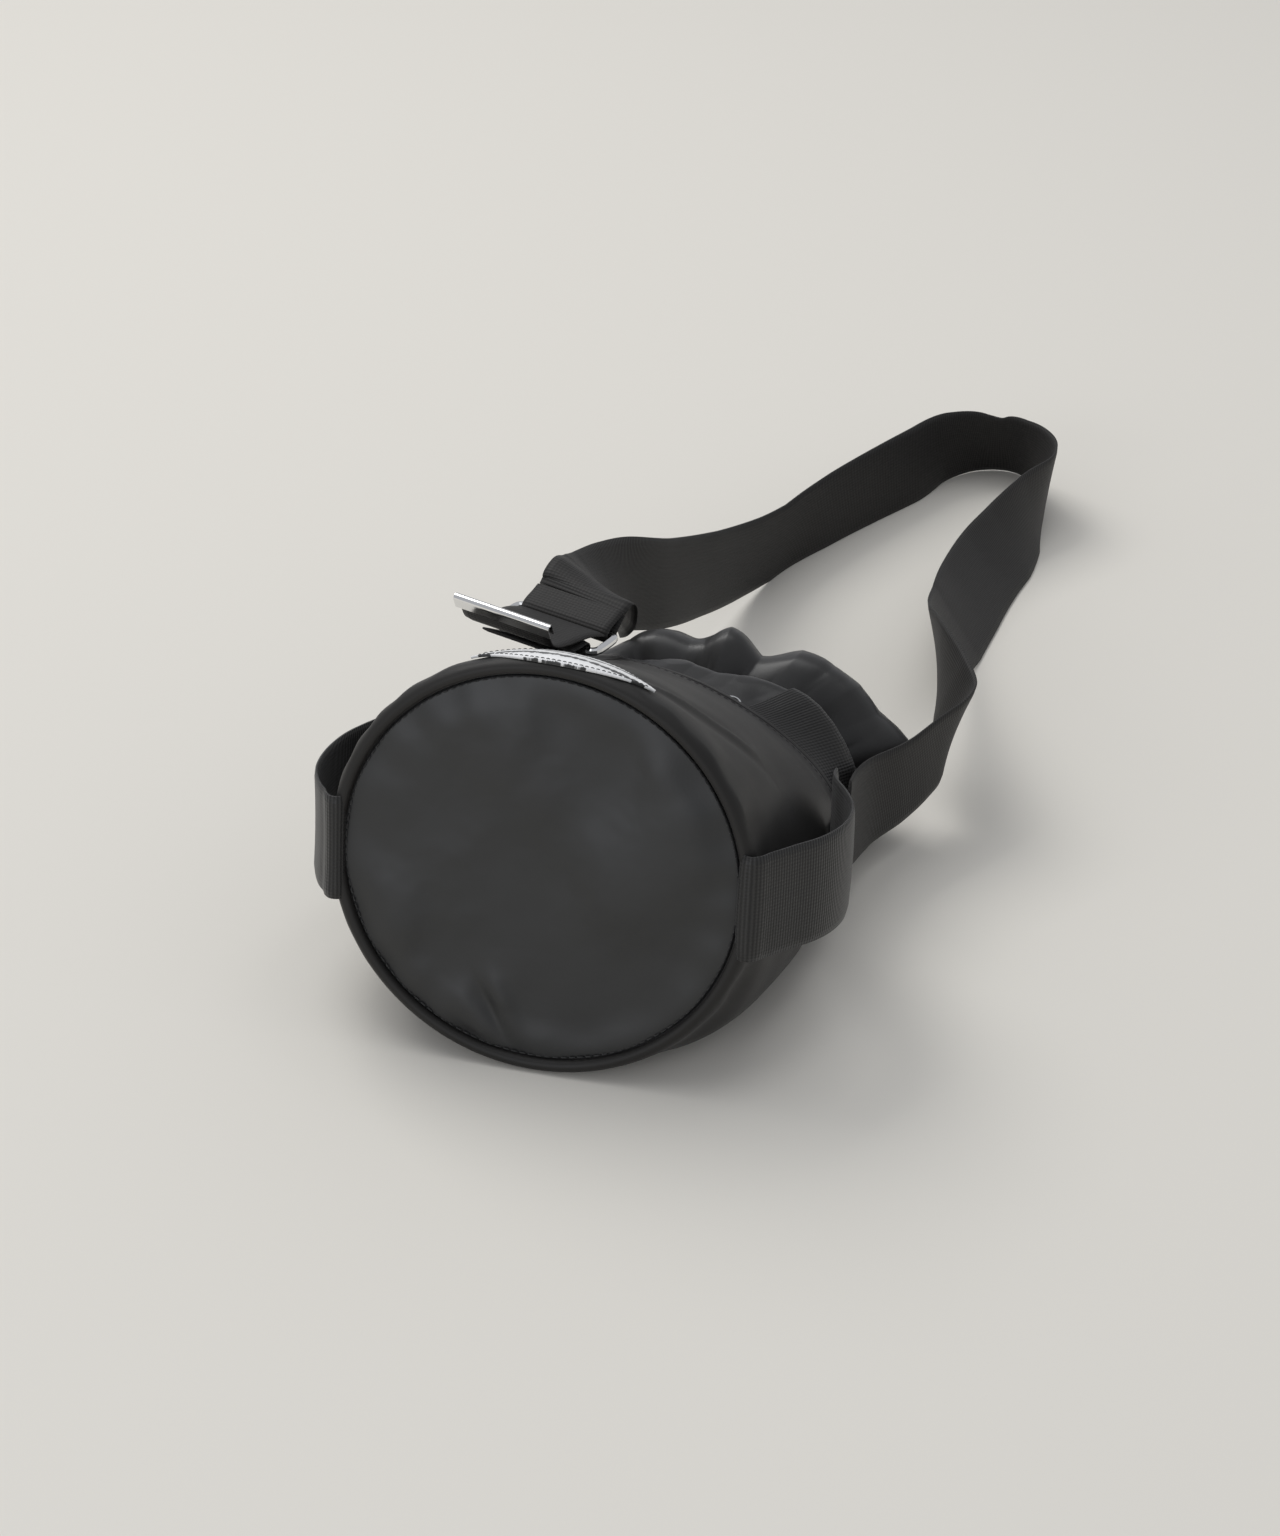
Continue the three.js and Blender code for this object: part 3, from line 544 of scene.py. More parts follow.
NYLON_BASE = nylon_material("nylon_base", 0.009, 0.012, rough=(0.44, 0.52), warm=-0.05, sheen=0.05,
                            crush=0.08, shine=0.6)
NYLON_SIDE = nylon_material("nylon_side", 0.012, 0.017, rough=(0.46, 0.58), warm=0.06, sheen=0.05,
                            crush=0.10, shine=0.28)
NYLON_COLLAR = nylon_material("nylon_collar", 0.015, 0.022, rough=(0.32, 0.44), warm=0.03, sheen=0.08,
                              crush=0.16)
LINING = nylon_material("lining_cloth", 0.02, 0.03, rough=(0.6, 0.75), warm=0.02, sheen=0.1, crush=0.2)
WEBBING = webbing_material("webbing", 0.012, 0.026, along_rib=0.30, cross_rib=0.40, rough=0.60, sheen=0.04,
                           warm=0.06, cross_scale=0.26, along_scale=0.22)
# Webbing of the side loops, the neck band and the anchor patch: glossier than the strap's, and lighter,
# partly its own tone and partly painted light on faces turned up to the lamps.
WEBBING_LOOP_PAINTED_LIGHTER = webbing_material("webbing_loop_painted_lighter", 0.011, 0.032, along_rib=0.40, cross_rib=0.60, rough=0.46,
                                sheen=0.10, warm=0.03, cross_scale=0.26, along_scale=0.24)
CHROME = metal_material("chrome", 0.82, 0.10)
NICKEL = metal_material("nickel", 0.72, 0.22)
SPRING = metal_material("spring_wire", 0.6, 0.3)
PLASTIC = plastic_material("lock_plastic", 0.02)
THREAD = thread_material("thread", 0.012)
CORD = cord_material("braid")
LABEL = label_material("label_cloth")
FOAM = plastic_material("foam", 0.1)


def dress(obj, mat, body="bag", replaces=()):
    """Gives a new piece its material and its body, and hides the CAD nodes that it stands for."""
    obj.data.materials.clear()
    obj.data.materials.append(mat)
    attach(obj, body)
    if replaces:
        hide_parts(*replaces)
    return obj


def dress_cad(node, mat):
    """Gives a CAD node a better material."""
    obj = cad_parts[node]
    for holder in obj.material_slots:
        holder.material = mat
    return obj


SHARP_EDGE = math.radians(38.0)


def smooth_cad(node, mat):
    """CAD metal and plastic keep their own shape, with smooth shading across shallow edges."""
    obj = dress_cad(node, mat)
    group = bpy.data.node_groups.get("smooth_shading")
    if group is None:
        group = bpy.data.node_groups.new("smooth_shading", "GeometryNodeTree")
        group.interface.new_socket("Geometry", in_out="INPUT", socket_type="NodeSocketGeometry")
        group.interface.new_socket("Geometry", in_out="OUTPUT", socket_type="NodeSocketGeometry")
        nodes, links = group.nodes, group.links
        start, end = nodes.new("NodeGroupInput"), nodes.new("NodeGroupOutput")
        faces, edges = nodes.new("GeometryNodeSetShadeSmooth"), nodes.new("GeometryNodeSetShadeSmooth")
        faces.domain, edges.domain = "FACE", "EDGE"
        edges.inputs["Shade Smooth"].default_value = False
        angle = nodes.new("GeometryNodeInputMeshEdgeAngle")
        compare = nodes.new("FunctionNodeCompare")
        compare.data_type, compare.operation = "FLOAT", "GREATER_THAN"
        compare.inputs["B"].default_value = SHARP_EDGE
        links.new(angle.outputs["Unsigned Angle"], compare.inputs["A"])
        links.new(compare.outputs["Result"], edges.inputs["Selection"])
        links.new(start.outputs[0], faces.inputs["Geometry"])
        links.new(faces.outputs["Geometry"], edges.inputs["Geometry"])
        links.new(edges.outputs["Geometry"], end.inputs[0])
    modifier = obj.modifiers.new("smooth_shading", "NODES")
    modifier.node_group = group


# ---------------------------------------------------------------- base panel and seam
# The panel's edge, its one sharp tuck near the floor, and the most that its cloth moves in or out.
PANEL_R = 69.7
TUCK_AT, TUCK_TURN, TUCK_REACH = (-16, -54), math.radians(28), 11
BASE_SWELL = 2.6


def angle_gap(angle, at):
    """The shorter way round between two angles."""
    return np.abs((angle - at + np.pi) % (2 * np.pi) - np.pi)


def base_dent(radius, angle, along):
    """Soft rolling undulations, small puckers along the seam and one sharp tuck near the floor."""
    u, v = radius * np.cos(angle), radius * np.sin(angle)
    flat = np.stack([u, np.zeros_like(u), v], -1) * MM
    soft = 1 - smoothstep(radius, 54, 69)
    slant = np.stack([u * 0.8 - v * 0.6, np.zeros_like(u), (u * 0.6 + v * 0.8) * 0.45], -1) * MM
    waves = 5.2 * ripple(flat, 62.0, 3, 2) + 1.5 * ripple(slant, 30.0, 5, 2) + 0.2 * ripple(flat, 9.0, 8, 2)
    pucker = 0.28 * smoothstep(radius, 46, 64) * np.sin(19 * angle + 2 * np.sin(3 * angle))
    off_u, off_v = u - TUCK_AT[0], v - TUCK_AT[1]
    across = off_u * math.cos(TUCK_TURN) + off_v * math.sin(TUCK_TURN)
    length = off_v * math.cos(TUCK_TURN) - off_u * math.sin(TUCK_TURN)
    reach = np.exp(-(length / TUCK_REACH) ** 2)
    tuck = (2.6 * np.exp(-np.abs(across) / 2.2) - 1.8 * np.exp(-((across - 6) / 4) ** 2)
            - 1.0 * np.exp(-((across + 7) / 5) ** 2)) * reach
    front = np.where(along < 2.5, 1.0, 0.0)
    lift = (waves * soft + pucker + tuck * (1 - smoothstep(radius, 65, 69))) * front
    return radius, along + BASE_SWELL * np.tanh(lift / BASE_SWELL)


def base_profile():
    """A flat face that turns in at its seam, and a flat back."""
    front = [(r, -0.3 + 2.2 * (r / PANEL_R) ** 8) for r in np.linspace(0.0, PANEL_R, 90)]
    return front + [(PANEL_R, 2.9), (34.0, 3.2), (0.0, 3.2)]


base = turned("base_panel_cloth", base_profile(), 260, base_dent, closed=False)
dress(base, NYLON_BASE, replaces=["base_panel"])

binding = turned("base_seam_thread_ring", [(69.85, 2.7), (70.3, 2.7), (70.3, 3.6), (69.85, 3.6)], 240)
dress(binding, THREAD, replaces=["base_seam_binding"])
dress_cad("base_foam", FOAM)


def on_floor(angle, start=0.45, full=0.85):
    """1 where the bag rests on the floor and 0 on its sides and top."""
    return smoothstep(-np.sin(angle), start, full)


def skin_line(radius, along, angles):
    """Points and outward normals along a line on the slumped outline, in metres."""
    angles = np.asarray(angles, float)
    along = np.broadcast_to(np.asarray(along, float), angles.shape)
    radius = np.broadcast_to(np.asarray(radius, float), angles.shape)
    p = slump(radius, angles, along)
    return p, slump(radius + 1.0, angles, along) - p


turn = np.linspace(0, 2 * np.pi, 721)
points, _ = skin_line(69.2, 1.6, turn)
axis = np.array([0.0, -math.cos(TILT), math.sin(TILT)])
seam_stitch = stitch_row("base_seam_stitches", points, np.tile(axis, (len(points), 1)), pitch=3.0, dash=2.0,
                         radius=0.2)
dress(seam_stitch, THREAD)


# ---------------------------------------------------------------- side wall
CREASE_AT, CREASE_TURNS, FOLD_AT = math.radians(66), math.radians(34), math.radians(112)


def shell_dent(radius, angle, along):
    """Loose cloth: broad waves, one long crease from the roll towards the loop and tucks at the seam."""
    where = slump(np.full_like(radius, BASE_R), angle, along)
    body = smoothstep(along, 7, 22) * (1 - smoothstep(along, 104, 112))
    resting = on_floor(angle)
    broad = 1.3 * ripple(where, 60.0, 11, 2) + 0.45 * ripple(where * np.array([1.0, 0.4, 1.0]), 24.0, 12, 2)
    line = CREASE_AT - CREASE_TURNS * np.clip((along - 15) / 34, 0, 1)
    off = angle_gap(angle, line) * 60
    span = smoothstep(along, 9, 18) * (1 - smoothstep(along, 40, 60))
    crease = (0.9 * np.exp(-off / 3.2) - 0.7 * np.exp(-((off - 7) / 5) ** 2)) * span
    fold = angle_gap(angle, FOLD_AT - (along - 50) * 0.004) * CLOTH_R
    second = 0.5 * np.exp(-fold / 6) * smoothstep(along, 40, 62) * (1 - smoothstep(along, 90, 106))
    tucks = 0.22 * np.sin(29 * angle + 1.5 * np.sin(5 * angle)) * smoothstep(along, 1.0, 4) * (
        1 - smoothstep(along, 7, 18))
    dent = ((broad + crease + second) * body + tucks) * (1 - resting) - 0.05 * resting
    outer = np.where(radius > 74.6, 1.0, np.where(along < 5.2, 0.5, 0.0)) * np.where(radius > 71.0, 1.0, 0.0)
    return radius + dent * outer, along


def shell_profile():
    """The soft roll at the base, the side wall up to the rim, and back down inside."""
    roll = [(70.2, 2.0)]
    for a in np.linspace(0, 1, 16)[1:]:
        turn_angle = math.radians(-128 + 128 * a)
        roll.append((72.4 + 3.1 * math.cos(turn_angle), 4.4 + 4.6 * math.sin(turn_angle)))
    side = [(BASE_R, s) for s in np.linspace(6.0, 112.6, 120)]
    inner = [(73.9, s) for s in np.linspace(112.6, 9.3, 24)]
    return roll + side + inner + [(70.4, 4.6)]


shell = turned("side_wall_cloth", shell_profile(), 300, shell_dent)
dress(shell, NYLON_SIDE, replaces=["body_shell"])

points, normals = skin_line(BASE_R - 0.1, 110.4, turn[turn < 2 * np.pi])
rim_stitch = stitch_row("rim_stitches", points, normals, pitch=3.0, dash=2.2, radius=0.16)
dress(rim_stitch, THREAD)


def rim_dent(radius, angle, along):
    """A slightly wavy hem, flat where it rests."""
    where = slump(np.full_like(radius, BASE_R), angle, along)
    resting = on_floor(angle)
    out = 0.35 * ripple(where, 16.0, 21, 2) * (1 - resting)
    return radius + out, along + 0.5 * ripple(where, 34.0, 22, 2)


rim_profile = [(75.6, 112.4), (75.75, 114.0), (75.7, 116.0), (75.2, 117.0), (74.2, 117.5), (73.2, 117.4),
               (72.3, 116.8), (72.0, 115.6), (72.0, 113.6), (73.4, 112.8)]
rim = turned("rim_hem_cloth", rim_profile, 300, rim_dent)
dress(rim, NYLON_SIDE, replaces=["rim_hem"])

lining_profile = [(r, 9.4) for r in np.linspace(0, 72.6, 16)]
lining_profile += [(72.8, s) for s in np.linspace(12, 112.5, 30)]
lining_profile += [(72.0, s) for s in np.linspace(112.5, 11, 30)]
lining_profile += [(r, 10.2) for r in np.linspace(71.6, 0, 16)]


def lining_dent(radius, angle, along):
    """Loose cloth that only bags inwards."""
    where = slump(np.full_like(radius, 72.0), angle, along)
    body = smoothstep(along, 14, 30) * np.where(radius < 72.2, 1.0, 0.0) * (1 - smoothstep(along, 96, 103))
    return radius - np.abs(1.4 * ripple(where, 24.0, 31, 3)) * body, along


lining = turned("lining_cloth", lining_profile, 200, lining_dent, closed=False)
dress(lining, LINING, replaces=["body_lining"])


# ---------------------------------------------------------------- collar
# Flat-sided folds round the collar: angle and how far the cloth stands out there, crests and valleys in turn.
FACETS = np.array([
    [-176, -2.2], [-158, 2.0], [-140, -1.8], [-120, 1.4], [-95, -1.0], [-62, 1.2], [-46, -1.2], [-30, 2.0],
    [-13, -2.2], [3, 2.8], [15, -0.8], [27, 1.6], [38, -0.4], [52, 2.8], [68, -2.0], [76, -0.4], [89, 3.2],
    [112, 0.8], [126, 1.6], [140, 0.6], [158, 2.4], [184, -2.2]])
# Tucks at the cord: angle and depth.
NECK_TUCKS = [(104, 2.4), (95, 3.4), (74, 3.0), (66, 2.2), (55, 3.2), (34, 3.0), (25, 2.2), (8, 2.8),
              (-4, 2.2), (-24, 2.6), (-36, 2.4), (138, 3.0), (165, 3.0), (-160, 3.0), (-130, 2.6)]
CORD_ALONG = 153.5


def facet(angle, along):
    """Straight stretches between the crests and valleys, drifting round a little towards the free edge."""
    degrees = np.degrees((angle + np.pi) % (2 * np.pi) - np.pi)
    drift = (along - 172) * 0.16 * np.sin(np.radians(degrees) * 2.3 + 0.7)
    turned_by = (degrees + drift + 176) % 360 - 176
    return np.interp(turned_by, FACETS[:, 0], FACETS[:, 1])


def collar_dent(radius, angle, along):
    """Gathered at the cord, then thrown out into a few large flat-sided folds."""
    where = slump(np.full_like(radius, COLLAR_R), angle, along)
    free = smoothstep(along, 117, 126)
    throat = np.exp(-((along - CORD_ALONG) / 8) ** 2)
    ruffle = smoothstep(along, 154, 167)
    neck = smoothstep(along, 119, 130) * (1 - smoothstep(along, 146, 153))
    total = (facet(angle, along) + 0.6) * (ruffle + 0.3 * neck)
    for at, depth in NECK_TUCKS:
        line = math.radians(at) + 0.05 * np.sin(along / 9.0 + at)
        gap = angle_gap(angle, line) * 56
        total -= depth * np.exp(-gap / 2.6) * (0.9 * throat + 0.10 * neck)
    squeezed = where * np.array([1.0, 0.5, 1.0])
    crumple = 0.8 * ripple(where, 24.0, 41, 2) + 0.7 * np.abs(ripple(squeezed, 13.0, 47, 2))
    puff = 3.4 * np.exp(-((along - 135) / 9) ** 2) * smoothstep(np.sin(angle), 0.1, 0.6)
    soft = 1.8 * ripple(where, 40.0, 44, 2)
    resting = on_floor(angle, 0.5, 0.9)
    lift = total + crumple * (0.7 * neck + ruffle) + (soft * (neck + ruffle * 0.5) + puff) * (1 - resting)
    lift = np.minimum(lift, 4.2 - 3.6 * resting)
    edge = smoothstep(along, 184, 196)
    return radius + lift * free, along + edge * (3.4 * ripple(where, 24.0, 45, 2) - 1.2)


def collar_profile():
    """The outer face from under the rim to the free edge, a folded lip, and the inner face back."""
    outer = [(COLLAR_R, s) for s in np.linspace(104, 195, 190)]
    lip = [(COLLAR_R - 0.35, 196.0), (COLLAR_R - 1.0, 196.2)]
    inner = [(COLLAR_R - 1.4, s) for s in np.linspace(195, 104, 110)]
    return outer + lip + inner


collar = turned("collar_cloth", collar_profile(), 540, collar_dent)
dress(collar, NYLON_COLLAR, replaces=["collar"])


def arc_skin(name, angles, ring, dent=None, width_at=None):
    """A piece wrapped on the outline. ring lists (radius, along) round its section; width_at narrows it."""
    angles = np.asarray(angles, float)
    ring = np.asarray(ring, float)
    angle = angles[:, None] + np.zeros(len(ring))[None]
    radius = ring[None, :, 0] + np.zeros_like(angle)
    along = ring[None, :, 1] + np.zeros_like(angle)
    if width_at is not None:
        middle = (ring[:, 1].max() + ring[:, 1].min()) / 2
        factor = width_at(np.linspace(-1, 1, len(angles)))[:, None]
        along = middle + (along - middle) * factor
    if dent is not None:
        radius, along = dent(radius, angle, along)
    verts = slump(radius, angle, along)
    uvs = np.stack([along, angle * CLOTH_R], -1)
    return mesh_object(name, verts, tube_faces(len(angles), len(ring)), uvs)


def flat_ring(inner, thick, start, end, cuts=12):
    """The section of a flat band between two places along the bag."""
    top = [(inner + thick, s) for s in np.linspace(start, end, cuts)]
    return top + [(inner, s) for s in np.linspace(end, start, cuts)]


CHANNEL_IN = COLLAR_R + 0.9


def channel_dent(radius, angle, along):
    """Small gathers round the outside of the channel."""
    gather = np.abs(np.sin(31 * angle + 1.2 * np.sin(4 * angle)))
    out = (radius > CHANNEL_IN + 1.0) * 1.0
    return radius + out * (1.1 * gather - 0.3), along


channel_ring = [(CHANNEL_IN + 0.6 + 3.4 * max(math.sin(a), -0.15), CORD_ALONG - 4.6 * math.cos(a))
                for a in np.radians(np.linspace(-20, 200, 16))]
channel = arc_skin("cord_channel_cloth", np.radians(np.linspace(-135, 180, 420)), channel_ring, channel_dent)
dress(channel, NYLON_COLLAR, replaces=["cord_channel"])

band_ring = flat_ring(COLLAR_R + 0.5, 1.3, 119.5, 143)
band = arc_skin("neck_webbing", np.radians(np.linspace(-4, 40, 70)), band_ring, collar_dent)
dress(band, WEBBING_LOOP_PAINTED_LIGHTER, replaces=["neck_webbing_band"])
smooth_cad("neck_eyelet_left", NICKEL)
smooth_cad("neck_eyelet_right", NICKEL)

# ---------------------------------------------------------------- drawcord, lock and knot
LOCK_X, LEG_Z, LEG_HALF_GAP = -62.0, 10.6, 2.3
LEG_ALONG = [220, 199, 187, 176]
CORD_R = 1.3
KNOT_ALONG, KNOT_CORD_R = 225.2, 1.45
FIRST_LEG_X, LAST_LEG_X = LOCK_X - LEG_HALF_GAP, LOCK_X + LEG_HALF_GAP


def to_drawing(points_m):
    """From the part's frame in metres to the drawing frame in mm."""
    return np.asarray(points_m) / MM + FRAME_SHIFT


def channel_point(degrees):
    """A point of the cord inside its channel."""
    return to_drawing(slump(CHANNEL_IN + 1.6, math.radians(degrees), CORD_ALONG))


cord_route = [(FIRST_LEG_X, along, LEG_Z) for along in LEG_ALONG]
cord_route += [(-61.5, 165, 13.5), (-54.5, 156, 22), (-47.5, 152, 31)]
cord_route += [tuple(channel_point(180 - 4.5 * k)) for k in range(71)]
cord_route += [(-29, 146.5, 8.5), (-42, 152, 7.0), (-54, 162.5, 8.6)]
cord_route += [(LAST_LEG_X, along, LEG_Z) for along in reversed(LEG_ALONG)]
cord = tube_object("drawcord_braid", cord_route, CORD_R, 700, 12)
dress(cord, CORD, replaces=["drawcord"])

# A trefoil: the overhand knot that both ends share.
knot_route = [(LOCK_X + 1.302 * (math.sin(t) + 2 * math.sin(2 * t)),
               KNOT_ALONG + 1.16 * (math.cos(t) - 2 * math.cos(2 * t)),
               LEG_Z - 1.7 * math.sin(3 * t)) for t in np.linspace(0, 2 * np.pi, 40)]
knot = tube_object("cord_end_knot", knot_route, KNOT_CORD_R, 260, 12)
dress(knot, CORD, replaces=["cord_knot"])
smooth_cad("cord_lock_body", PLASTIC)
smooth_cad("cord_lock_button", PLASTIC)

SPRING_WIRE, SPRING_TURNS, PRESS_TRAVEL = 0.35, 4, 3.0


def coil_spring():
    """The lock's spring as a real helix in its CAD node's box."""
    low, high = [to_drawing(corner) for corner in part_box("cord_lock_spring")]
    middle, height = (low + high) / 2, high[2] - low[2]
    radius = (high[0] - low[0]) / 2 - SPRING_WIRE
    rise = height - 2 * SPRING_WIRE
    turn = np.linspace(0, SPRING_TURNS, SPRING_TURNS * 12 + 1)
    angle = 2 * np.pi * turn
    route = np.stack([middle[0] + radius * np.cos(angle), middle[1] + radius * np.sin(angle),
                      low[2] + SPRING_WIRE + rise * turn / SPRING_TURNS], -1)
    spring = tube_object("cord_lock_coil_spring", route, SPRING_WIRE, 200, 10)
    dress(spring, SPRING, body="lock", replaces=["cord_lock_spring"])
    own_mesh(spring)


coil_spring()


# ---------------------------------------------------------------- side loops
LOOP_LIFT, LOOP_CUP, LOOP_SEAMS = -1.5, 0.5, (4.0, 11.0)


def side_loop(name, route, side, cad):
    """A webbing loop near mid height: caught in the base seam, bowed out, and sewn flat near the rim."""
    route = np.array(route, float)
    line = to_drawing(lay_down(side * route[:, 0], route[:, 1], np.full(len(route), LOOP_LIFT)))
    up = np.array([0.0, math.sin(TILT), math.cos(TILT)])
    obj, at, across, out = ribbon(name, line, np.tile(up, (len(line), 1)), steps=160, cup=LOOP_CUP)
    dress(obj, WEBBING_LOOP_PAINTED_LIGHTER, replaces=[cad])
    lengths = run_length(at)
    for number, from_end in enumerate(LOOP_SEAMS):
        i = int(np.argmin(np.abs(lengths - (lengths[-1] - from_end))))
        facing = 1.0 if out[i][0] * side > 0 else -1.0
        face = out[i] * facing
        row = np.array([at[i] + across[i] * x + face * (0.95 + facing * LOOP_CUP * (1 - (x / 19) ** 2))
                        for x in np.linspace(-16.5, 16.5, 40)])
        stitches = stitch_row(f"{name}_stitch_{number}", (row - FRAME_SHIFT) * MM, np.tile(face, (40, 1)))
        dress(stitches, THREAD)


# Each loop's route: how far out from the bag's axis, and how far along it.
LOOP_ROOT = [[69.9, 2.4], [70.2, 0.8], [71.4, -0.6], [73.8, -0.9], [76.2, 0.9]]
RIGHT_LOOP = [[78.4, 4.8], [81.0, 8.8], [85, 15], [91, 24], [95, 34], [96.6, 46], [95, 58], [90.5, 69],
              [85.4, 78], [82.9, 84], [82.6, 89]]
LEFT_LOOP = [[78.4, 4.6], [80.8, 7.6], [84, 13], [88, 22], [90.4, 34], [91, 46], [90, 58], [87, 69],
             [84.2, 77], [82.8, 83], [82.6, 89]]
side_loop("right_loop_webbing", LOOP_ROOT + RIGHT_LOOP, 1, "right_side_loop")
side_loop("left_loop_webbing", LOOP_ROOT + LEFT_LOOP, -1, "left_side_loop")

# ---------------------------------------------------------------- shoulder strap
# The strap's middle line from the ring to its anchor, and the direction across it at each point.
STRAP = np.array([
    [-25.5, 138.3, 107.0, -0.95, 0.29, 0.04],
    [-24.3, 141.7, 109.0, -0.95, 0.28, 0.10],
    [-23.5, 149.5, 107.6, -0.90, 0.20, 0.36],
    [-24.6, 159.5, 100.6, -0.74, 0.03, 0.66],
    [-27.6, 172.5, 92.5, -0.46, -0.22, 0.85],
    [-30.0, 190.0, 84.8, -0.20, -0.40, 0.90],
    [-30.0, 213.0, 76.0, -0.06, -0.53, 0.85],
    [-24.5, 254.5, 57.0, -0.03, -0.45, 0.90],
    [-19.5, 306.0, 37.5, 0.03, -0.42, 0.91],
    [-13.0, 353.5, 23.5, 0.05, -0.40, 0.92],
    [-4.5, 388.5, 18.2, 0.03, -0.34, 0.94],
    [7.0, 418.0, 18.6, -0.05, -0.26, 0.96],
    [20.0, 447.0, 18.8, -0.10, -0.21, 0.97],
    [33.5, 474.5, 18.6, -0.18, -0.24, 0.95],
    [46.0, 500.5, 17.8, -0.16, -0.39, 0.91],
    [60.0, 513.0, 17.4, -0.05, -0.42, 0.91],
    [73.5, 514.5, 17.4, 0.03, -0.45, 0.89],
    [86.5, 503.5, 17.0, 0.13, -0.47, 0.87],
    [96.0, 486.0, 16.6, 0.22, -0.44, 0.87],
    [99.5, 465.0, 16.4, 0.10, -0.30, 0.90],
    [96.0, 440.0, 16.6, -0.28, -0.12, 0.88],
    [91.0, 414.0, 15.4, -0.56, -0.06, 0.80],
    [86.0, 390.0, 14.4, -0.66, -0.05, 0.74],
    [83.5, 362.0, 14.2, -0.68, -0.04, 0.73],
    [83.0, 333.0, 15.4, -0.60, -0.03, 0.80],
    [83.4, 303.0, 22.6, -0.42, -0.10, 0.91],
    [86.5, 270.0, 34.0, -0.22, -0.12, 0.97],
    [92.0, 243.0, 41.5, 0.04, -0.10, 0.99],
    [99.0, 223.0, 41.5, 0.28, 0.00, 0.95],
    [105.0, 208.0, 38.5, 0.36, 0.05, 0.93],
    [106.0, 195.0, 37.0, 0.24, 0.05, 0.96],
    [101.0, 180.0, 35.0, 0.10, -0.08, 0.99],
    [94.0, 164.0, 33.0, 0.02, -0.16, 0.98],
    [85.5, 145.0, 34.0, -0.02, -0.10, 0.99],
    [82.6, 127.0, 37.0, -0.02, 0.04, 0.99],
    [82.6, 112.6, 39.8, 0.0, 0.155, 0.988],
])
strap, strap_at, _, _ = ribbon("shoulder_strap_webbing", STRAP[:, :3], unit(STRAP[:, 3:]), steps=520,
                               lowest=0.25, cup=0.35)
dress(strap, WEBBING, replaces=["shoulder_strap"])

# ---------------------------------------------------------------- ring, tab, tail and tip
RING_AT = np.array([-30.5, 122.5, 101.8])
RING_ALONG = unit(np.array([-0.95, 0.29, 0.04]))
RING_BACK = unit(np.array([-RING_ALONG[1], RING_ALONG[0], 0.0]) * -1)
RING_UP = unit(np.cross(RING_BACK, RING_ALONG))
RING_UP = RING_UP * np.sign(RING_UP[2])
RING_HALF = 7.6
BACK_BAR = RING_AT + RING_BACK * RING_HALF
FRONT_BAR = RING_AT - RING_BACK * RING_HALF
BAR_R, BAR_GAP, HALF_WEB = 1.6, 0.4, 0.7
WRAP_R = BAR_R + BAR_GAP + HALF_WEB
WRAP_D = WRAP_R * math.sqrt(0.5)
EYE_RISE = math.radians(30)
RING_WEB_THICK = 1.45

# Routes in the plane across the ring's bars: how far back from the bar, and how far up. WRAP_D is where
# the wrap's 45 degree points lie.
EYE = [[9.9, -0.85], [6, -1.6], [2.5, -2.5], [0, -WRAP_R], [-WRAP_D, -WRAP_D], [-WRAP_R, 0],
       [-WRAP_D, WRAP_D], [0, WRAP_R], [2.5, 2.5], [6, 1.6], [9.9, 0.85]]
TAB = [[-14, 4.0], [-8, 0.6], [-3.5, -1.8], [0, -WRAP_R], [WRAP_D, -WRAP_D], [WRAP_R, 0], [WRAP_D, WRAP_D],
       [0, WRAP_R], [-4, 2.8], [-9, 3.3]]
TAIL = [[-4.6, 1.7], [-12, 4.8], [-20, 6.8], [-28, 8.4], [-34.5, 10.4], [-38.4, 12.9], [-40.6, 16.7],
        [-42.4, 21.5]]


def ring_webbing(name, bar, route, cad, width=WEB_WIDTH, body="bag", raised=0.0):
    """Webbing beside or round one of the ring's bars, its route turned up by raised."""
    back, up = np.array(route, float).T
    turned_back = back * math.cos(raised) - up * math.sin(raised)
    turned_up = back * math.sin(raised) + up * math.cos(raised)
    line = bar + RING_BACK * turned_back[:, None] + RING_UP * turned_up[:, None]
    obj = ribbon(name, line, np.tile(RING_ALONG, (len(line), 1)), width, RING_WEB_THICK, 140)[0]
    dress(obj, WEBBING, body, replaces=[cad])


ring_webbing("strap_eye_webbing", BACK_BAR, EYE, "strap_eye", raised=EYE_RISE)
ring_webbing("ring_tab_webbing", FRONT_BAR, TAB, "ring_tab", width=36.0)
ring_webbing("tail_webbing", BACK_BAR, TAIL, "strap_tail", body="tail")
smooth_cad("strap_ring", CHROME)
smooth_cad("strap_tip", CHROME)


# ---------------------------------------------------------------- label and anchor patch
def lens(t):
    """Half width of the label from one pointed end at -1 to the other at 1, as a share."""
    return np.maximum(1 - np.abs(t) ** 2.3, 0.05)


def roll_radius(along):
    """Distance of the side wall's skin from the axis, with the soft roll at the base."""
    back = np.maximum(1 - np.asarray(along) / 5.5, 0)
    return BASE_R - 2.1 + 2.1 * np.sqrt(1 - back ** 2)


def on_roll(radius, angle, along):
    """Lays a piece on the side wall's skin."""
    return radius - BASE_R + roll_radius(along), along


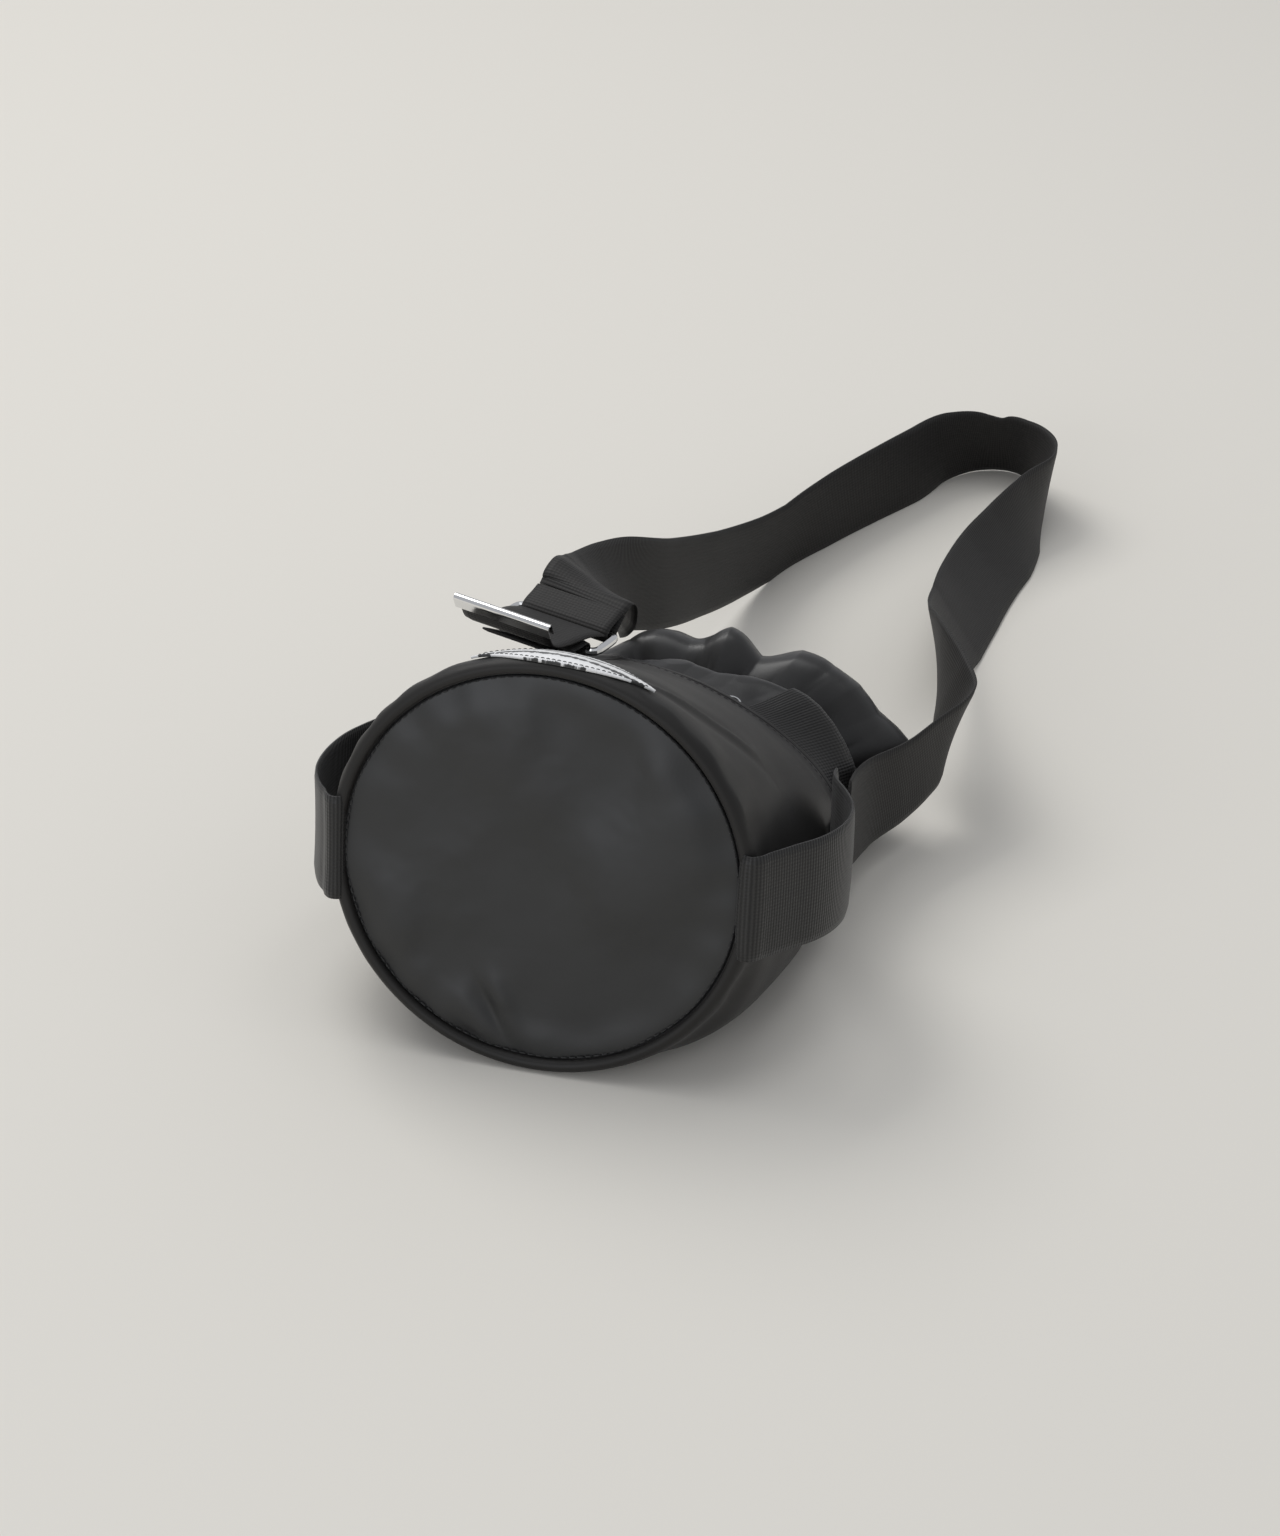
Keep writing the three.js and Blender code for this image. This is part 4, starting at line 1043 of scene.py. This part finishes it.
LABEL_MIDDLE, LABEL_HALF, LABEL_STITCH_HALF = 9.0, 8.4, 7.4
label_ring = flat_ring(BASE_R + 0.4, 0.9, LABEL_MIDDLE - LABEL_HALF, LABEL_MIDDLE + LABEL_HALF, 20)
label = arc_skin("label_cloth", np.radians(np.linspace(62, 112, 120)), label_ring, on_roll, lens)
dress(label, LABEL, replaces=["label_patch"])
span = np.radians(np.linspace(64, 110, 160))
shape = lens(np.linspace(-0.93, 0.93, 160)) * LABEL_STITCH_HALF
for side_sign, tag in ((1, "near"), (-1, "far")):
    along_row = LABEL_MIDDLE + side_sign * shape
    points, normals = skin_line(roll_radius(along_row) + 1.32, along_row, span)
    row = stitch_row(f"label_stitch_{tag}", points, normals, pitch=1.9, dash=1.3, radius=0.14)
    dress(row, LABEL)

anchor_ring = flat_ring(BASE_R + 0.55, 1.3, 91.0, 112.0)
anchor = arc_skin("anchor_webbing", np.radians(np.linspace(-29, 2, 60)), anchor_ring)
dress(anchor, WEBBING_LOOP_PAINTED_LIGHTER, replaces=["strap_anchor_patch"])
# Box and cross stitching, between corners given as an angle and a place along the bag.
LEFT, RIGHT, LOWER, UPPER = -27, 0, 93, 109
BOX_STITCHES = [
    ("a", (LEFT, LOWER), (RIGHT, LOWER)), ("b", (LEFT, UPPER), (RIGHT, UPPER)),
    ("c", (LEFT, LOWER), (LEFT, UPPER)), ("d", (RIGHT, LOWER), (RIGHT, UPPER)),
    ("e", (LEFT, LOWER), (RIGHT, UPPER)), ("f", (LEFT, UPPER), (RIGHT, LOWER)),
]
for tag, first, last in BOX_STITCHES:
    degrees, along_row = np.linspace(first, last, 60).T
    points, normals = skin_line(BASE_R + 1.9, along_row, np.radians(degrees))
    row = stitch_row(f"anchor_stitch_{tag}", points, normals)
    dress(row, THREAD)

# ---------------------------------------------------------------- floor and light
floor_mesh = bpy.data.meshes.new("floor")
floor_mesh.from_pydata([(-6, -6, 0), (6, -6, 0), (6, 8, 0), (-6, 8, 0)], [], [(0, 1, 2, 3)])  # metres
floor = bpy.data.objects.new("floor", floor_mesh)
bpy.context.collection.objects.link(floor)
floor_mat, _, _, floor_shader = material("floor_paper")
floor_shader.inputs["Base Color"].default_value = (0.72, 0.695, 0.64, 1)
floor_shader.inputs["Roughness"].default_value = 0.85
floor_shader.inputs["Specular IOR Level"].default_value = 0.1
floor_mesh.materials.append(floor_mat)


def area_light(name, at, aim, size, power, color):
    """A soft rectangular light, in metres and watts."""
    data = bpy.data.lights.new(name, "AREA")
    data.shape = "RECTANGLE"
    data.size, data.size_y = size
    data.energy = power
    data.color = color
    obj = bpy.data.objects.new(name, data)
    obj.location = at
    obj.rotation_euler = (Vector(aim) - Vector(at)).to_track_quat("-Z", "Y").to_euler()
    bpy.context.collection.objects.link(obj)


area_light("key", (-1.5, 0.9, 2.3), (0.0, 0.1, 0.0), (1.5, 1.5), 29, (1.0, 0.99, 0.97))
area_light("top", (-0.2, 0.2, 2.8), (0.0, 0.1, 0.0), (2.2, 2.2), 20, (0.98, 0.99, 1.0))
area_light("front", (-0.6, -2.1, 0.8), (0.0, -0.1, 0.08), (1.6, 0.8), 11, (0.94, 0.96, 1.0))
world = bpy.data.worlds.new("world")
world.use_nodes = True
background = world.node_tree.nodes["Background"]
background.inputs["Color"].default_value = (0.93, 0.95, 1.0, 1)
background.inputs["Strength"].default_value = 0.47
bpy.context.scene.world = world
bpy.context.scene.view_settings.view_transform = "Standard"
